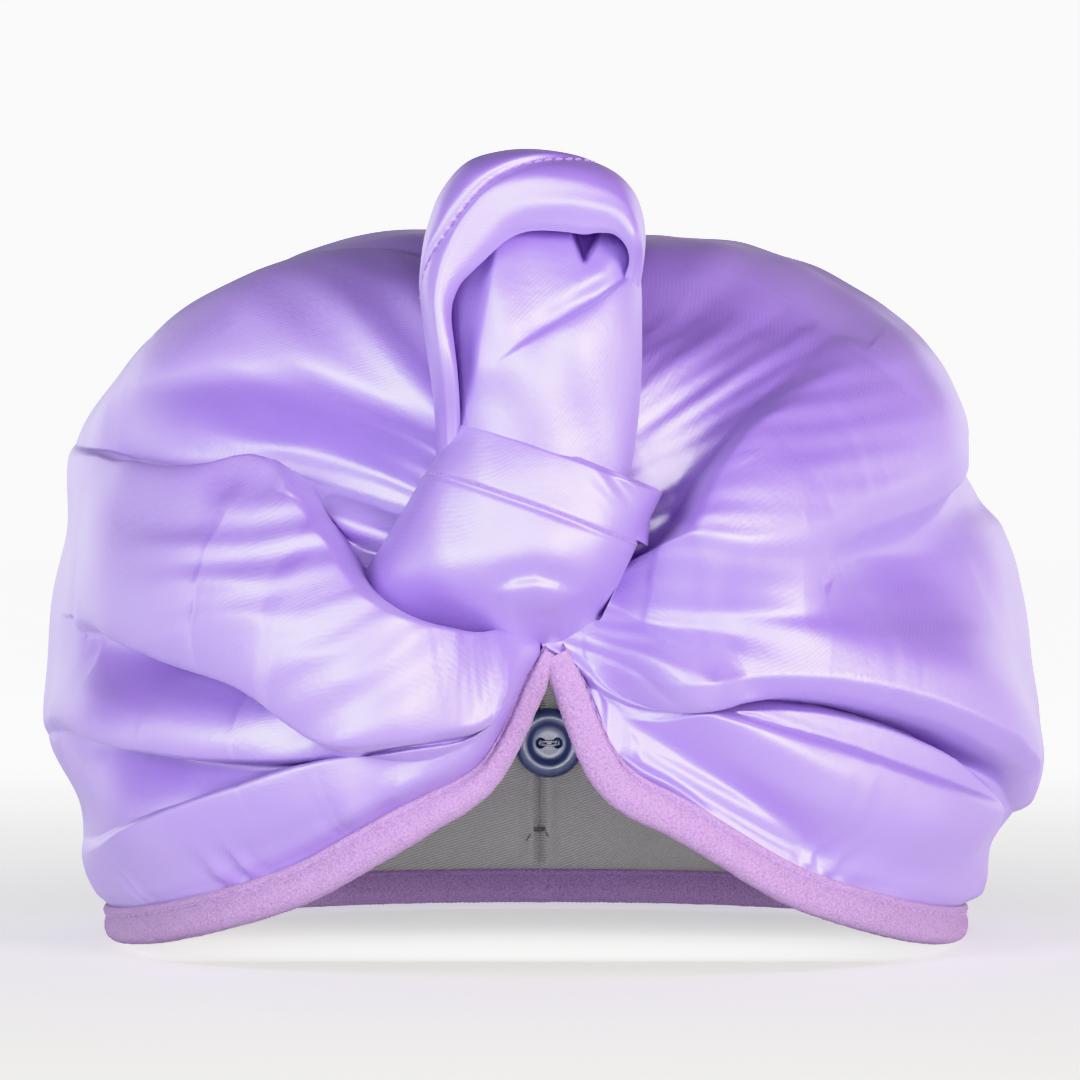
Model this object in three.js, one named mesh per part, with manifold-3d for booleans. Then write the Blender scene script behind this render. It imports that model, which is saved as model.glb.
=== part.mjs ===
// Hair turban towel, in millimetres: a satin hood with an absorbent lining, both edges held in a plush
// binding. The cloth gathers at the forehead into a tail that is rolled, looped over and wrapped into an
// upright knot, and a two-hole button is sewn inside the nape.
// +X is the wearer's left, which is the picture's right, -Y is the forehead and +Z is up. The origin is
// the middle of the head opening, in the plane that the binding's lowest edge lies in.

import * as THREE from "three";
import Module from "manifold-3d";
import { mergeVertices } from "three/addons/utils/BufferGeometryUtils.js";

// Driving sizes of the hood
const hoodWidth = 224;
const crownHeight = 165;
const foreheadDepth = 112;
const napeDepth = 103;
const gatherHeight = 75;
const gatherOffset = 3.6;
const foldDepth = 12;
const foldReach = 26;

// Driving sizes of the cloth and its edge
const satinWall = 1.0;
const liningWall = 1.2;
const liningEase = 1.6;
const bindingWall = 1.3;
const bindingCover = 6.5;
const bindingDrop = 2.8;
const bindingGap = 0.6;
const pieceGap = 0.35;
const flatStrip = 1.5;
const foldFade = 14;
const liningFade = 20;

// Driving sizes of the knot
const knotHeight = 110;
const knotSink = 1;
const rollWidth = 41;
const rollDepth = 34;
const cuffDepth = 48;
const cuffWall = 2.6;
const loopDepth = 46;

// Driving sizes of the button
const buttonDiameter = 18;
const buttonThickness = 3.2;
const buttonHeight = 42.7;
const buttonShift = 2.4;
const buttonHole = 2.2;
const holeSpacing = 4.2;
const threadDiameter = 1.1;

const wasm = await Module();
wasm.setup();

const LEFT = -1;
const RIGHT = 1;
const clamp = THREE.MathUtils.clamp;
const mix = THREE.MathUtils.lerp;
const smooth = (x, low, high) => THREE.MathUtils.smoothstep(x, low, high);

// A smooth curve through the rows of a table, which never overshoots between two rows.
function tableCurve(xs, ys) {
  const last = xs.length - 1;
  const slopes = xs.slice(1).map((x, i) => (ys[i + 1] - ys[i]) / (x - xs[i]));
  const tangents = xs.map((_, i) => {
    if (i === 0) return slopes[0];
    if (i === last) return slopes[last - 1];
    const [a, b] = [slopes[i - 1], slopes[i]];
    return a * b > 0 ? (2 * a * b) / (a + b) : 0;
  });
  return (x) => {
    let i = 0;
    while (i < last - 1 && x > xs[i + 1]) i += 1;
    const h = xs[i + 1] - xs[i];
    const t = clamp((x - xs[i]) / h, 0, 1);
    const t2 = t * t;
    const t3 = t2 * t;
    return (
      (2 * t3 - 3 * t2 + 1) * ys[i] +
      (t3 - 2 * t2 + t) * h * tangents[i] +
      (3 * t2 - 2 * t3) * ys[i + 1] +
      (t3 - t2) * h * tangents[i + 1]
    );
  };
}

const column = (table, name) => table.map((row) => row[name]);
const byColumn = (table, key, name) => tableCurve(column(table, key), column(table, name));

// The hood's widest outline seen from the front, from the hem corner (w 0) to the top (w 1).
// left and right are shares of half the hood's width, up is a share of the crown's height.
const outline = [
  { w: 0.0, left: 0.9, right: 0.885, up: 0.0 },
  { w: 0.08, left: 0.945, right: 0.92, up: 0.1 },
  { w: 0.18, left: 0.99, right: 0.973, up: 0.257 },
  { w: 0.28, left: 1.0, right: 0.991, up: 0.412 },
  { w: 0.39, left: 0.965, right: 0.955, up: 0.573 },
  { w: 0.5, left: 0.902, right: 0.875, up: 0.727 },
  { w: 0.62, left: 0.732, right: 0.741, up: 0.864 },
  { w: 0.75, left: 0.473, right: 0.518, up: 0.95 },
  { w: 0.88, left: 0.223, right: 0.25, up: 0.991 },
  { w: 1.0, left: 0.0, right: 0.0, up: 1.0 },
];
const outlineOf = {
  [LEFT]: byColumn(outline, "w", "left"),
  [RIGHT]: byColumn(outline, "w", "right"),
  up: byColumn(outline, "w", "up"),
};

// How the front hem falls from the gather: out is the share of its way to the side, left is what is
// left of its height.
const frontHem = [
  { out: 0.0, left: 1.0 },
  { out: 0.135, left: 0.56 },
  { out: 0.25, left: 0.43 },
  { out: 0.38, left: 0.31 },
  { out: 0.53, left: 0.19 },
  { out: 0.71, left: 0.1 },
  { out: 0.89, left: 0.03 },
  { out: 1.0, left: 0.0 },
];
const hemFall = byColumn(frontHem, "out", "left");

// Where the cloth ends: the gather line behind the knot and the seam down the back, from their low end
// to their high end.
const hemHeight = bindingDrop + pieceGap + bindingWall * 0.5;
const hemSetBack = foreheadDepth * 0.107;
const gatherTop = { forward: 0.714, up: 0.855 };
const seamTop = { back: 0.7, up: 0.867 };
const seamBulge = 0.078;

// The smooth surface under the folds. u runs along the cloth from the gather round the side to the back
// seam, and w across it from the hem to the middle of the crown.
function basePoint(side, u, w) {
  const around = Math.PI * u;
  const out = clamp(Math.sin(around), 0, 1);
  const along = Math.abs(Math.cos(around)) ** 0.9;
  const half = side * outlineOf[side](w) * (hoodWidth / 2);
  const sideUp = mix(hemHeight, crownHeight, outlineOf.up(w));
  const sideY = -hemSetBack * (1 - Math.min(w / 0.3, 1));
  const rootShare = 0.12 * w + 0.88 * w ** 2.2;
  const front = u <= 0.5;
  const endX = front ? gatherOffset * (1 - w) : 0;
  const endY = front
    ? -foreheadDepth * mix(1, gatherTop.forward, rootShare)
    : napeDepth * (mix(1, seamTop.back, w ** 2.5) + seamBulge * Math.sin(Math.PI * clamp(w * 1.3, 0, 1)));
  const endUp = front
    ? mix(gatherHeight, gatherTop.up * crownHeight, rootShare)
    : mix(hemHeight, seamTop.up * crownHeight, w);
  const rounded = 1 - out ** 2;
  const gathered = mix((1 - out) ** (1 + 1.6 * (1 - w) ** 1.5), rounded, smooth(w, 0.7, 1));
  const fall = front ? mix(hemFall(out), gathered, smooth(w, 0, 0.35)) : rounded;
  return new THREE.Vector3(
    mix(endX, half, out ** 0.92),
    mix(sideY, endY, along),
    mix(sideUp, endUp, fall),
  );
}

// The surface's own directions at a point: along u, across w and outward.
function baseFrame(side, u, w) {
  const step = 0.004;
  const u0 = clamp(u, 0.012, 0.988);
  const w0 = clamp(w, 0.02, 0.985);
  const along = basePoint(side, u0 + step, w0).sub(basePoint(side, u0 - step, w0));
  const across = basePoint(side, u0, w0 + step).sub(basePoint(side, u0, w0 - step));
  const perUnit = across.length() / (2 * step);
  const normal = new THREE.Vector3().crossVectors(along, across).multiplyScalar(side).normalize();
  return { along: along.normalize(), across: across.normalize(), normal, perUnit };
}

// The folds, from the hem up. Each row is one fold line: at holds its stations, where u and w place the
// line on the cloth and rise is its height there, a share of foldDepth, below zero for a hollow.
// under and over are how far the fold reaches towards the hem and the crown, shares of foldReach.
// All lines start at the same places on the gather and end at the same places on the back seam.
const gatherStart = [0.02, 0.05, 0.09, 0.2, 0.36, 0.5, 0.62, 0.76, 0.88];
const seamEnd = [0.08, 0.17, 0.26, 0.36, 0.45, 0.55, 0.66, 0.78, 0.9];
const folds = {
  [LEFT]: [
    { name: "low pleat", under: 0.5, over: 0.2, at: [
      { u: 0.03, w: 0.075, rise: 0.1 }, { u: 0.11, w: 0.116, rise: 0.5 },
      { u: 0.22, w: 0.108, rise: 0.45 }, { u: 0.5, w: 0.085, rise: 0.15 } ] },
    { name: "second pleat", under: 0.25, over: 0.9, at: [
      { u: 0.024, w: 0.108, rise: 0.15 }, { u: 0.103, w: 0.156, rise: 0.3 },
      { u: 0.242, w: 0.205, rise: 0.6 }, { u: 0.47, w: 0.212, rise: 0.42 } ] },
    { name: "swag, lower edge", under: 0.25, over: 1.0, at: [
      { u: 0.017, w: 0.14, rise: 0.4 }, { u: 0.089, w: 0.18, rise: 1.0 },
      { u: 0.17, w: 0.27, rise: 0.8 }, { u: 0.34, w: 0.335, rise: 0.3 }, { u: 0.5, w: 0.33, rise: 0.22 } ] },
    { name: "swag, upper edge", under: 1.0, over: 0.22, at: [
      { u: 0.01, w: 0.23, rise: 0.4 }, { u: 0.067, w: 0.313, rise: 1.1 }, { u: 0.115, w: 0.409, rise: 1.2 },
      { u: 0.185, w: 0.525, rise: 0.9 }, { u: 0.3, w: 0.49, rise: 0.55 },
      { u: 0.47, w: 0.467, rise: 0.4 } ] },
    { name: "small roll", under: 0.25, over: 0.25, at: [
      { u: 0.067, w: 0.46, rise: 0.3 }, { u: 0.125, w: 0.485, rise: 0.25 },
      { u: 0.185, w: 0.56, rise: 0 }, { u: 0.4, w: 0.52, rise: 0 } ] },
    { name: "hollow", under: 0.6, over: 0.6, at: [
      { u: 0.096, w: 0.62, rise: -0.1 }, { u: 0.156, w: 0.6, rise: -0.2 },
      { u: 0.223, w: 0.6, rise: -0.15 }, { u: 0.45, w: 0.56, rise: 0 } ] },
    { name: "puff", under: 0.9, over: 1.1, at: [
      { u: 0.129, w: 0.72, rise: 0.5 }, { u: 0.206, w: 0.676, rise: 0.65 },
      { u: 0.273, w: 0.64, rise: 0.6 }, { u: 0.5, w: 0.6, rise: 0.42 } ] },
    { name: "crown crease", under: 0.35, over: 0.9, at: [
      { u: 0.2, w: 0.81, rise: 0.15 }, { u: 0.28, w: 0.76, rise: 0.25 }, { u: 0.48, w: 0.71, rise: 0.2 } ] },
    { name: "crown fold", under: 0.5, over: 0.5, at: [
      { u: 0.15, w: 0.91, rise: 0.4 }, { u: 0.35, w: 0.9, rise: 0.2 }, { u: 0.5, w: 0.88, rise: 0.2 } ] },
  ],
  [RIGHT]: [
    { name: "low hollow", under: 0.35, over: 0.35, at: [
      { u: 0.041, w: 0.085, rise: -0.1 }, { u: 0.1, w: 0.1, rise: -0.2 },
      { u: 0.172, w: 0.06, rise: -0.2 }, { u: 0.3, w: 0.06, rise: 0 } ] },
    { name: "low ridge", under: 0.6, over: 0.5, at: [
      { u: 0.026, w: 0.125, rise: 0.2 }, { u: 0.09, w: 0.166, rise: 0.45 },
      { u: 0.2, w: 0.16, rise: 0.4 }, { u: 0.5, w: 0.13, rise: 0.4 } ] },
    { name: "thin roll", under: 0.2, over: 0.2, at: [
      { u: 0.019, w: 0.155, rise: 0.2 }, { u: 0.06, w: 0.185, rise: 0.35 },
      { u: 0.134, w: 0.215, rise: 0.2 }, { u: 0.3, w: 0.18, rise: 0 } ] },
    { name: "long pleat", under: 0.22, over: 1.0, at: [
      { u: 0.019, w: 0.2, rise: 0.3 }, { u: 0.065, w: 0.208, rise: 0.55 },
      { u: 0.117, w: 0.238, rise: 0.75 }, { u: 0.208, w: 0.245, rise: 0.8 },
      { u: 0.326, w: 0.22, rise: 0.8 }, { u: 0.52, w: 0.185, rise: 0.6 } ] },
    { name: "thin ridge", under: 0.3, over: 0.8, at: [
      { u: 0.014, w: 0.3, rise: 0.3 }, { u: 0.038, w: 0.265, rise: 0.4 },
      { u: 0.09, w: 0.245, rise: 0.1 }, { u: 0.25, w: 0.29, rise: 0 }, { u: 0.5, w: 0.33, rise: 0.35 } ] },
    { name: "gather hollow", under: 0.45, over: 0.5, at: [
      { u: 0.034, w: 0.33, rise: -0.1 }, { u: 0.091, w: 0.31, rise: -0.3 },
      { u: 0.16, w: 0.34, rise: -0.1 }, { u: 0.21, w: 0.36, rise: -0.3 }, { u: 0.29, w: 0.4, rise: -0.2 },
      { u: 0.5, w: 0.46, rise: -0.25 } ] },
    { name: "side puff, lower edge", under: 0.5, over: 0.9, at: [
      { u: 0.055, w: 0.4, rise: 0.35 }, { u: 0.158, w: 0.415, rise: 0.6 },
      { u: 0.328, w: 0.475, rise: 0.5 }, { u: 0.5, w: 0.53, rise: 0.35 } ] },
    { name: "knot crease", under: 0.9, over: 0.22, at: [
      { u: 0.05, w: 0.45, rise: 0.3 }, { u: 0.11, w: 0.5, rise: 0.55 },
      { u: 0.17, w: 0.6, rise: 0.4 }, { u: 0.3, w: 0.6, rise: 0.2 }, { u: 0.5, w: 0.63, rise: 0.1 } ] },
    { name: "crown puff", under: 0.8, over: 1.6, at: [
      { u: 0.165, w: 0.82, rise: 0.4 }, { u: 0.3, w: 0.78, rise: 0.4 }, { u: 0.5, w: 0.74, rise: 0.32 } ] },
  ],
};
const foldCount = gatherStart.length;
const backRise = 0.35;
for (const side of [LEFT, RIGHT]) {
  folds[side].forEach((fold, k) => {
    const end = fold.at[fold.at.length - 1];
    const stations = [
      { u: 0, w: gatherStart[k], rise: 0 },
      ...fold.at,
      { u: 0.78, w: mix(end.w, seamEnd[k], 0.75), rise: end.rise * backRise },
      { u: 1, w: seamEnd[k], rise: 0 },
    ];
    fold.line = byColumn(stations, "u", "w");
    fold.rise = byColumn(stations, "u", "rise");
  });
}

// How far the binding reaches up over the cloth, less where it starts beside the gather.
const bindingStart = 0.022;
const coverAt = (u) => bindingCover * mix(0.55, 1, smooth(u, bindingStart, 0.12));

// How far the cloth stands off the smooth surface at a point.
function foldRise(side, u, w) {
  const { perUnit } = baseFrame(side, u, w);
  const settled = folds[side].reduce((sum, fold) => {
    const off = (w - fold.line(u)) * perUnit;
    const reach = foldReach * (off < 0 ? fold.under : fold.over);
    return sum + fold.rise(u) * Math.exp(-0.5 * (off / (reach * 0.6)) ** 2);
  }, 0);
  const rest = 0.1;
  const kept = Math.sqrt((settled + rest) ** 2 + 0.01) + settled + rest;
  const fromHem = w * perUnit;
  const hold = smooth(fromHem, coverAt(u) + flatStrip, coverAt(u) + foldFade);
  const ease = smooth(u, 0, 0.12) * mix(1, smooth(1 - u, 0, 0.06), 0.8);
  return 0.5 * kept * foldDepth * hold * ease;
}

// The w of each line of the grid at a place along the cloth: the hem, the fold lines and the crown, with
// a close line either side of each and one halfway.
function fineLines(side, u) {
  const { perUnit } = baseFrame(side, u, 0.1);
  const knots = [(coverAt(u) + 1.2) / perUnit];
  folds[side].forEach((fold, k) => knots.push(Math.max(fold.line(u), knots[k] + 0.015)));
  knots.push(1);
  const lines = [0, knots[0]];
  for (let k = 0; k < knots.length - 1; k += 1) {
    const span = knots[k + 1] - knots[k];
    const close = Math.min((0.28 * foldReach) / perUnit, 0.3 * span);
    lines.push(knots[k] + close, knots[k] + span / 2, knots[k + 1] - close, knots[k + 1]);
  }
  return lines;
}
const coarseShares = [0, 0.08, 0.16, 0.25, 0.35, 0.46, 0.58, 0.7, 0.84, 1];
const coarseLines = (side, u) => {
  const hem = (coverAt(u) + 1.2) / baseFrame(side, u, 0.1).perUnit;
  return [0, ...coarseShares.map((share) => mix(hem, 1, share))];
};
const stations = [
  0, 0.012, 0.03, 0.055, 0.085, 0.12, 0.16, 0.205, 0.255, 0.31, 0.37, 0.43, 0.5, 0.57, 0.64, 0.71,
  0.78, 0.86, 0.93, 1,
];

// A manifold-3d solid of a triangle list over shared points, and the mesh of a solid.
function solidOf(points, triangles) {
  const mesh = new wasm.Mesh({
    numProp: 3,
    vertProperties: new Float32Array(points.flatMap((p) => [p.x, p.y, p.z])),
    triVerts: new Uint32Array(triangles.flat()),
  });
  return new wasm.Manifold(mesh);
}
function solidOfGeometry(geometry) {
  geometry.deleteAttribute("normal");
  geometry.deleteAttribute("uv");
  const merged = mergeVertices(geometry, 1e-3);
  return new wasm.Manifold(
    new wasm.Mesh({
      numProp: 3,
      vertProperties: merged.attributes.position.array,
      triVerts: new Uint32Array(merged.index.array),
    }),
  );
}
function meshOf(name, solid, color, roughness) {
  const { vertProperties, triVerts, numProp } = solid.getMesh();
  const count = vertProperties.length / numProp;
  const positions = new Float32Array(3 * count);
  for (let i = 0; i < count; i += 1) {
    positions.set(vertProperties.subarray(i * numProp, i * numProp + 3), 3 * i);
  }
  const geometry = new THREE.BufferGeometry();
  geometry.setAttribute("position", new THREE.BufferAttribute(positions, 3));
  geometry.setIndex(new THREE.BufferAttribute(triVerts, 1));
  geometry.computeVertexNormals();
  const mesh = new THREE.Mesh(geometry, new THREE.MeshStandardMaterial({ color, roughness, metalness: 0 }));
  mesh.name = name;
  return mesh;
}

// Both halves of the hood as one sheet, joined along the gather, the crown and the back seam.
function hoodSheet(uStations, linesAt, riseAt) {
  const points = [];
  const outward = [];
  const shares = [];
  const index = new Map();
  const faces = [];
  const lastU = uStations.length - 1;
  const vertex = (side, i, j, lines) => {
    const shared = i === 0 || i === lastU || j === lines[i].length - 1;
    const key = `${shared ? 0 : side},${i},${j}`;
    const [u, w] = [uStations[i], lines[i][j]];
    const { normal } = baseFrame(side, u, w);
    if (!index.has(key)) {
      index.set(key, points.length);
      points.push(new THREE.Vector3());
      outward.push(new THREE.Vector3());
      shares.push(0);
    }
    const at = index.get(key);
    points[at].add(basePoint(side, u, w).addScaledVector(normal, riseAt(side, u, w)));
    outward[at].add(normal);
    shares[at] += 1;
    return at;
  };
  for (const side of [LEFT, RIGHT]) {
    const lines = uStations.map((u) => linesAt(side, u));
    const grid = lines.map((row, i) => row.map((_, j) => vertex(side, i, j, lines)));
    for (let i = 0; i < lastU; i += 1) {
      for (let j = 0; j < grid[i].length - 1; j += 1) {
        const [a, b, c, d] = [grid[i][j], grid[i + 1][j], grid[i + 1][j + 1], grid[i][j + 1]];
        faces.push(...(side === RIGHT ? [[a, b, c], [a, c, d]] : [[a, c, b], [a, d, c]]));
      }
    }
  }
  points.forEach((p, i) => p.divideScalar(shares[i]));
  outward.forEach((n) => n.normalize());
  return { points, outward, faces: faces.filter(([a, b, c]) => a !== b && b !== c && a !== c) };
}

// Outward directions at the points of a sheet.
function sheetNormals({ points, faces }) {
  const normals = points.map(() => new THREE.Vector3());
  for (const [a, b, c] of faces) {
    const face = new THREE.Vector3()
      .subVectors(points[b], points[a])
      .cross(new THREE.Vector3().subVectors(points[c], points[a]));
    [a, b, c].forEach((i) => normals[i].add(face));
  }
  return normals.map((n) => n.normalize());
}

// A closed wall between two offsets of a sheet, with a rim along its open edge.
function wallSolid(sheet, normals, innerOffset, outerOffset) {
  const count = sheet.points.length;
  const shifted = (offset) => sheet.points.map((p, i) => p.clone().addScaledVector(normals[i], offset));
  const points = [...shifted(outerOffset), ...shifted(innerOffset)];
  const triangles = sheet.faces.flatMap(([a, b, c]) => [[a, b, c], [a + count, c + count, b + count]]);
  const edges = new Set(sheet.faces.flatMap(([a, b, c]) => [`${a},${b}`, `${b},${c}`, `${c},${a}`]));
  for (const edge of edges) {
    const [a, b] = edge.split(",").map(Number);
    if (!edges.has(`${b},${a}`)) triangles.push([b, a, a + count], [b, a + count, b + count]);
  }
  return solidOf(points, triangles);
}

const layerGap = pieceGap / 2;
const satinSheet = hoodSheet(stations, fineLines, foldRise);
const satinSolid = wallSolid(satinSheet, sheetNormals(satinSheet), layerGap, layerGap + satinWall);

// The lining hangs clear of the folds and meets the satin at the hem.
const easeAt = (side, u, w) => {
  const { perUnit } = baseFrame(side, u, w);
  return -liningEase * smooth(w * perUnit, coverAt(u) + flatStrip, coverAt(u) + liningFade);
};
const liningSheet = hoodSheet(stations, coarseLines, easeAt);
const liningSolid = wallSolid(liningSheet, liningSheet.outward, -layerGap - liningWall, -layerGap);

// A closed solid through a row of rings, capped at both ends.
function loftSolid(rings) {
  const n = rings[0].length;
  const points = rings.flat();
  const triangles = [];
  for (let r = 0; r < rings.length - 1; r += 1) {
    for (let i = 0; i < n; i += 1) {
      const [a, b] = [r * n + i, r * n + ((i + 1) % n)];
      triangles.push([a, b, b + n], [a, b + n, a + n]);
    }
  }
  const cap = (ring, start, flip) => {
    const centre = ring.reduce((sum, p) => sum.add(p), new THREE.Vector3()).divideScalar(n);
    const at = points.push(centre) - 1;
    for (let i = 0; i < n; i += 1) {
      const [a, b] = [start + i, start + ((i + 1) % n)];
      triangles.push(flip ? [at, b, a] : [at, a, b]);
    }
  };
  cap(rings[0], 0, true);
  cap(rings[rings.length - 1], (rings.length - 1) * n, false);
  const solid = solidOf(points, triangles);
  return solid.volume() < 0 ? solidOf(points, triangles.map(([a, b, c]) => [a, c, b])) : solid;
}

// The binding: a folded strip over both edges, from the gather down the front, round the nape and back.
function bindingSection(side, u) {
  const here = basePoint(side, u, 0);
  const step = 0.004;
  const u0 = clamp(u, step, 1 - step);
  const along = basePoint(side, u0 + step, 0).sub(basePoint(side, u0 - step, 0)).normalize();
  const { across, perUnit } = baseFrame(side, u, 0);
  if (u === 1) across.set(0, across.y, across.z).normalize();
  if (u === 1) along.set(side > 0 ? -1 : 1, 0, 0);
  const down = across.clone().addScaledVector(along, -across.dot(along)).normalize().negate();
  const out = new THREE.Vector3().crossVectors(along, down).multiplyScalar(-side).normalize();
  const play = bindingGap * mix(2.6, 1, smooth(u, bindingStart, 0.07));
  const satinFace = layerGap + satinWall + play;
  const liningFace = -layerGap - liningWall - play;
  const cover = coverAt(u);
  const low = bindingDrop + play - bindingGap;
  const crest = bindingWall * 0.45;
  const profile = [
    [-cover, satinFace + bindingWall * 0.6],
    [-cover * 0.5, satinFace + bindingWall],
    [low - crest, satinFace + bindingWall],
    [low + pieceGap, (satinFace + liningFace) / 2],
    [low - crest, liningFace - bindingWall],
    [-cover * 0.8, liningFace - bindingWall],
    [-cover * 0.8, liningFace],
    [play + bindingGap, liningFace],
    [play + bindingGap, satinFace],
    [-cover, satinFace],
  ];
  return profile.map(([d, n]) => {
    if (d >= 0) return here.clone().addScaledVector(down, d).addScaledVector(out, n);
    const w = -d / perUnit;
    return basePoint(side, u, w).addScaledVector(baseFrame(side, u, w).normal, n);
  });
}
const bindingStations = [bindingStart, ...stations.filter((u) => u > bindingStart)];
const bindingRings = [
  ...bindingStations.map((u) => bindingSection(LEFT, u)),
  ...bindingStations.slice(0, -1).reverse().map((u) => bindingSection(RIGHT, u)),
];
const bindingSolid = loftSolid(bindingRings);

// What the knot's pieces are cut back from: the space of the hood, a little larger than its outside.
const hoodSpace = (() => {
  const normals = sheetNormals(satinSheet);
  const reach = layerGap + satinWall + pieceGap;
  const points = satinSheet.points.map((p, i) => p.clone().addScaledVector(normals[i], reach));
  const triangles = [...satinSheet.faces];
  const edges = new Set(satinSheet.faces.flatMap(([a, b, c]) => [`${a},${b}`, `${b},${c}`, `${c},${a}`]));
  const middle = points.push(new THREE.Vector3(0, 0, hemHeight)) - 1;
  for (const edge of edges) {
    const [a, b] = edge.split(",").map(Number);
    if (!edges.has(`${b},${a}`)) triangles.push([b, a, middle]);
  }
  return solidOf(points, triangles);
})();

// The knot stands on the gather. Its tables give each height as a share of knotHeight above knotFoot.
const knotFoot = gatherHeight - knotSink;
const knotUp = (share) => knotFoot + share * knotHeight;
const knotFront = -foreheadDepth - rollDepth * 0.85;

// The rolled tail, from its foot in the cuff to its top in the loop. shift and half are shares of the
// roll's width, lean is how far its middle leans back and thick its half depth, shares of its depth.
const rollRows = [
  { up: 0.08, shift: -0.05, half: 0.3, lean: 0.3, thick: 0.36 },
  { up: 0.2, shift: 0.0, half: 0.4, lean: 0.25, thick: 0.42 },
  { up: 0.36, shift: 0.03, half: 0.47, lean: 0.18, thick: 0.5 },
  { up: 0.48, shift: 0.05, half: 0.5, lean: 0.18, thick: 0.54 },
  { up: 0.6, shift: 0.05, half: 0.5, lean: 0.25, thick: 0.54 },
  { up: 0.7, shift: 0.05, half: 0.48, lean: 0.36, thick: 0.48 },
  { up: 0.79, shift: 0.06, half: 0.4, lean: 0.46, thick: 0.4 },
  { up: 0.85, shift: 0.06, half: 0.2, lean: 0.5, thick: 0.2 },
];
const rollSides = 20;
function rollSolid(grow) {
  const rings = rollRows.map((row) => {
    const ring = [];
    const turn = THREE.MathUtils.degToRad(-30 - 110 * row.up);
    for (let i = 0; i < rollSides; i += 1) {
      const a = (2 * Math.PI * i) / rollSides;
      const lap = THREE.MathUtils.euclideanModulo(a - turn, 2 * Math.PI) / (2 * Math.PI);
      const swell = 1 - 0.14 * smooth(lap, 0.8, 1) + 0.02 * Math.sin(3 * a + 6 * row.up);
      ring.push(
        new THREE.Vector3(
          row.shift * rollWidth + (row.half * rollWidth * swell + grow) * Math.cos(a),
          knotFront + (row.lean + 0.35) * rollDepth - (row.thick * rollDepth * swell + grow) * Math.sin(a),
          knotUp(row.up) + (row.up > 0.8 ? grow : 0) - (row.up < 0.1 ? grow : 0),
        ),
      );
    }
    return ring;
  });
  return loftSolid(rings);
}
const rollSpace = rollSolid(pieceGap);

// The cuff: the tail wrapped once round the foot of the roll, tilted, with its hem on top.
// a is 0 at the picture's left, 90 degrees at the front and 180 at the right.
const cuffRows = [
  { t: 0.0, shift: -0.2, half: 0.52, front: 0.36 },
  { t: 0.12, shift: -0.22, half: 0.66, front: 0.46 },
  { t: 0.4, shift: -0.14, half: 0.7, front: 0.5 },
  { t: 0.7, shift: -0.03, half: 0.65, front: 0.52 },
  { t: 1.0, shift: 0.05, half: 0.62, front: 0.5 },
];
const cuffSides = 28;
const cuffTop = (a) => knotUp(0.39 + 0.055 * Math.cos(a));
const cuffFoot = (a) => knotUp(0.145 + 0.025 * Math.cos(a) - 0.12 * Math.sin(a));
const cuffMiddle = knotFront + cuffDepth * 0.42;
function cuffSolid(grow, reach) {
  const rings = cuffRows.map((row) => {
    const ring = [];
    for (let i = 0; i < cuffSides; i += 1) {
      const a = (2 * Math.PI * i) / cuffSides;
      const edge = row.t === 1 ? reach : row.t === 0 ? -reach : 0;
      ring.push(
        new THREE.Vector3(
          row.shift * rollWidth - (row.half * rollWidth + grow) * Math.cos(a),
          cuffMiddle - (row.front * cuffDepth + grow) * Math.sin(a),
          mix(cuffFoot(a), cuffTop(a), row.t) + edge,
        ),
      );
    }
    return ring;
  });
  return loftSolid(rings);
}

// The loop: the tail's end, brought up the picture's left side, over the top of the roll and down its
// right. x, up and half give its middle line and half width seen from the front, x and half as shares of
// the roll's width. front and back are how far it reaches before and behind its middle, shares of
// loopDepth.
const loopRows = [
  { x: -0.49, up: 0.46, half: 0.056, front: 0.3, back: 0.1 },
  { x: -0.54, up: 0.59, half: 0.088, front: 0.38, back: 0.2 },
  { x: -0.556, up: 0.69, half: 0.112, front: 0.44, back: 0.32 },
  { x: -0.5, up: 0.79, half: 0.17, front: 0.47, back: 0.42 },
  { x: -0.34, up: 0.873, half: 0.22, front: 0.48, back: 0.48 },
  { x: -0.18, up: 0.91, half: 0.235, front: 0.48, back: 0.5 },
  { x: 0.02, up: 0.923, half: 0.224, front: 0.47, back: 0.5 },
  { x: 0.22, up: 0.909, half: 0.21, front: 0.46, back: 0.48 },
  { x: 0.415, up: 0.864, half: 0.17, front: 0.44, back: 0.44 },
  { x: 0.507, up: 0.809, half: 0.098, front: 0.38, back: 0.3 },
  { x: 0.535, up: 0.745, half: 0.05, front: 0.28, back: 0.15 },
];
const loopSides = 16;
const loopMiddle = knotFront + loopDepth * 0.46;
function loopSolid() {
  const middle = loopRows.map((row) => new THREE.Vector3(row.x * rollWidth, loopMiddle, knotUp(row.up)));
  const rings = loopRows.map((row, r) => {
    const before = middle[Math.max(r - 1, 0)];
    const after = middle[Math.min(r + 1, middle.length - 1)];
    const along = new THREE.Vector3().subVectors(after, before).normalize();
    const outward = new THREE.Vector3(-along.z, 0, along.x);
    const ring = [];
    for (let i = 0; i < loopSides; i += 1) {
      const a = (2 * Math.PI * i) / loopSides;
      const deep = Math.cos(a) * loopDepth * (Math.cos(a) > 0 ? row.back : row.front);
      ring.push(
        middle[r]
          .clone()
          .addScaledVector(outward, Math.sin(a) * row.half * rollWidth)
          .add(new THREE.Vector3(0, deep, 0)),
      );
    }
    return ring;
  });
  return loftSolid(rings);
}

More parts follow.
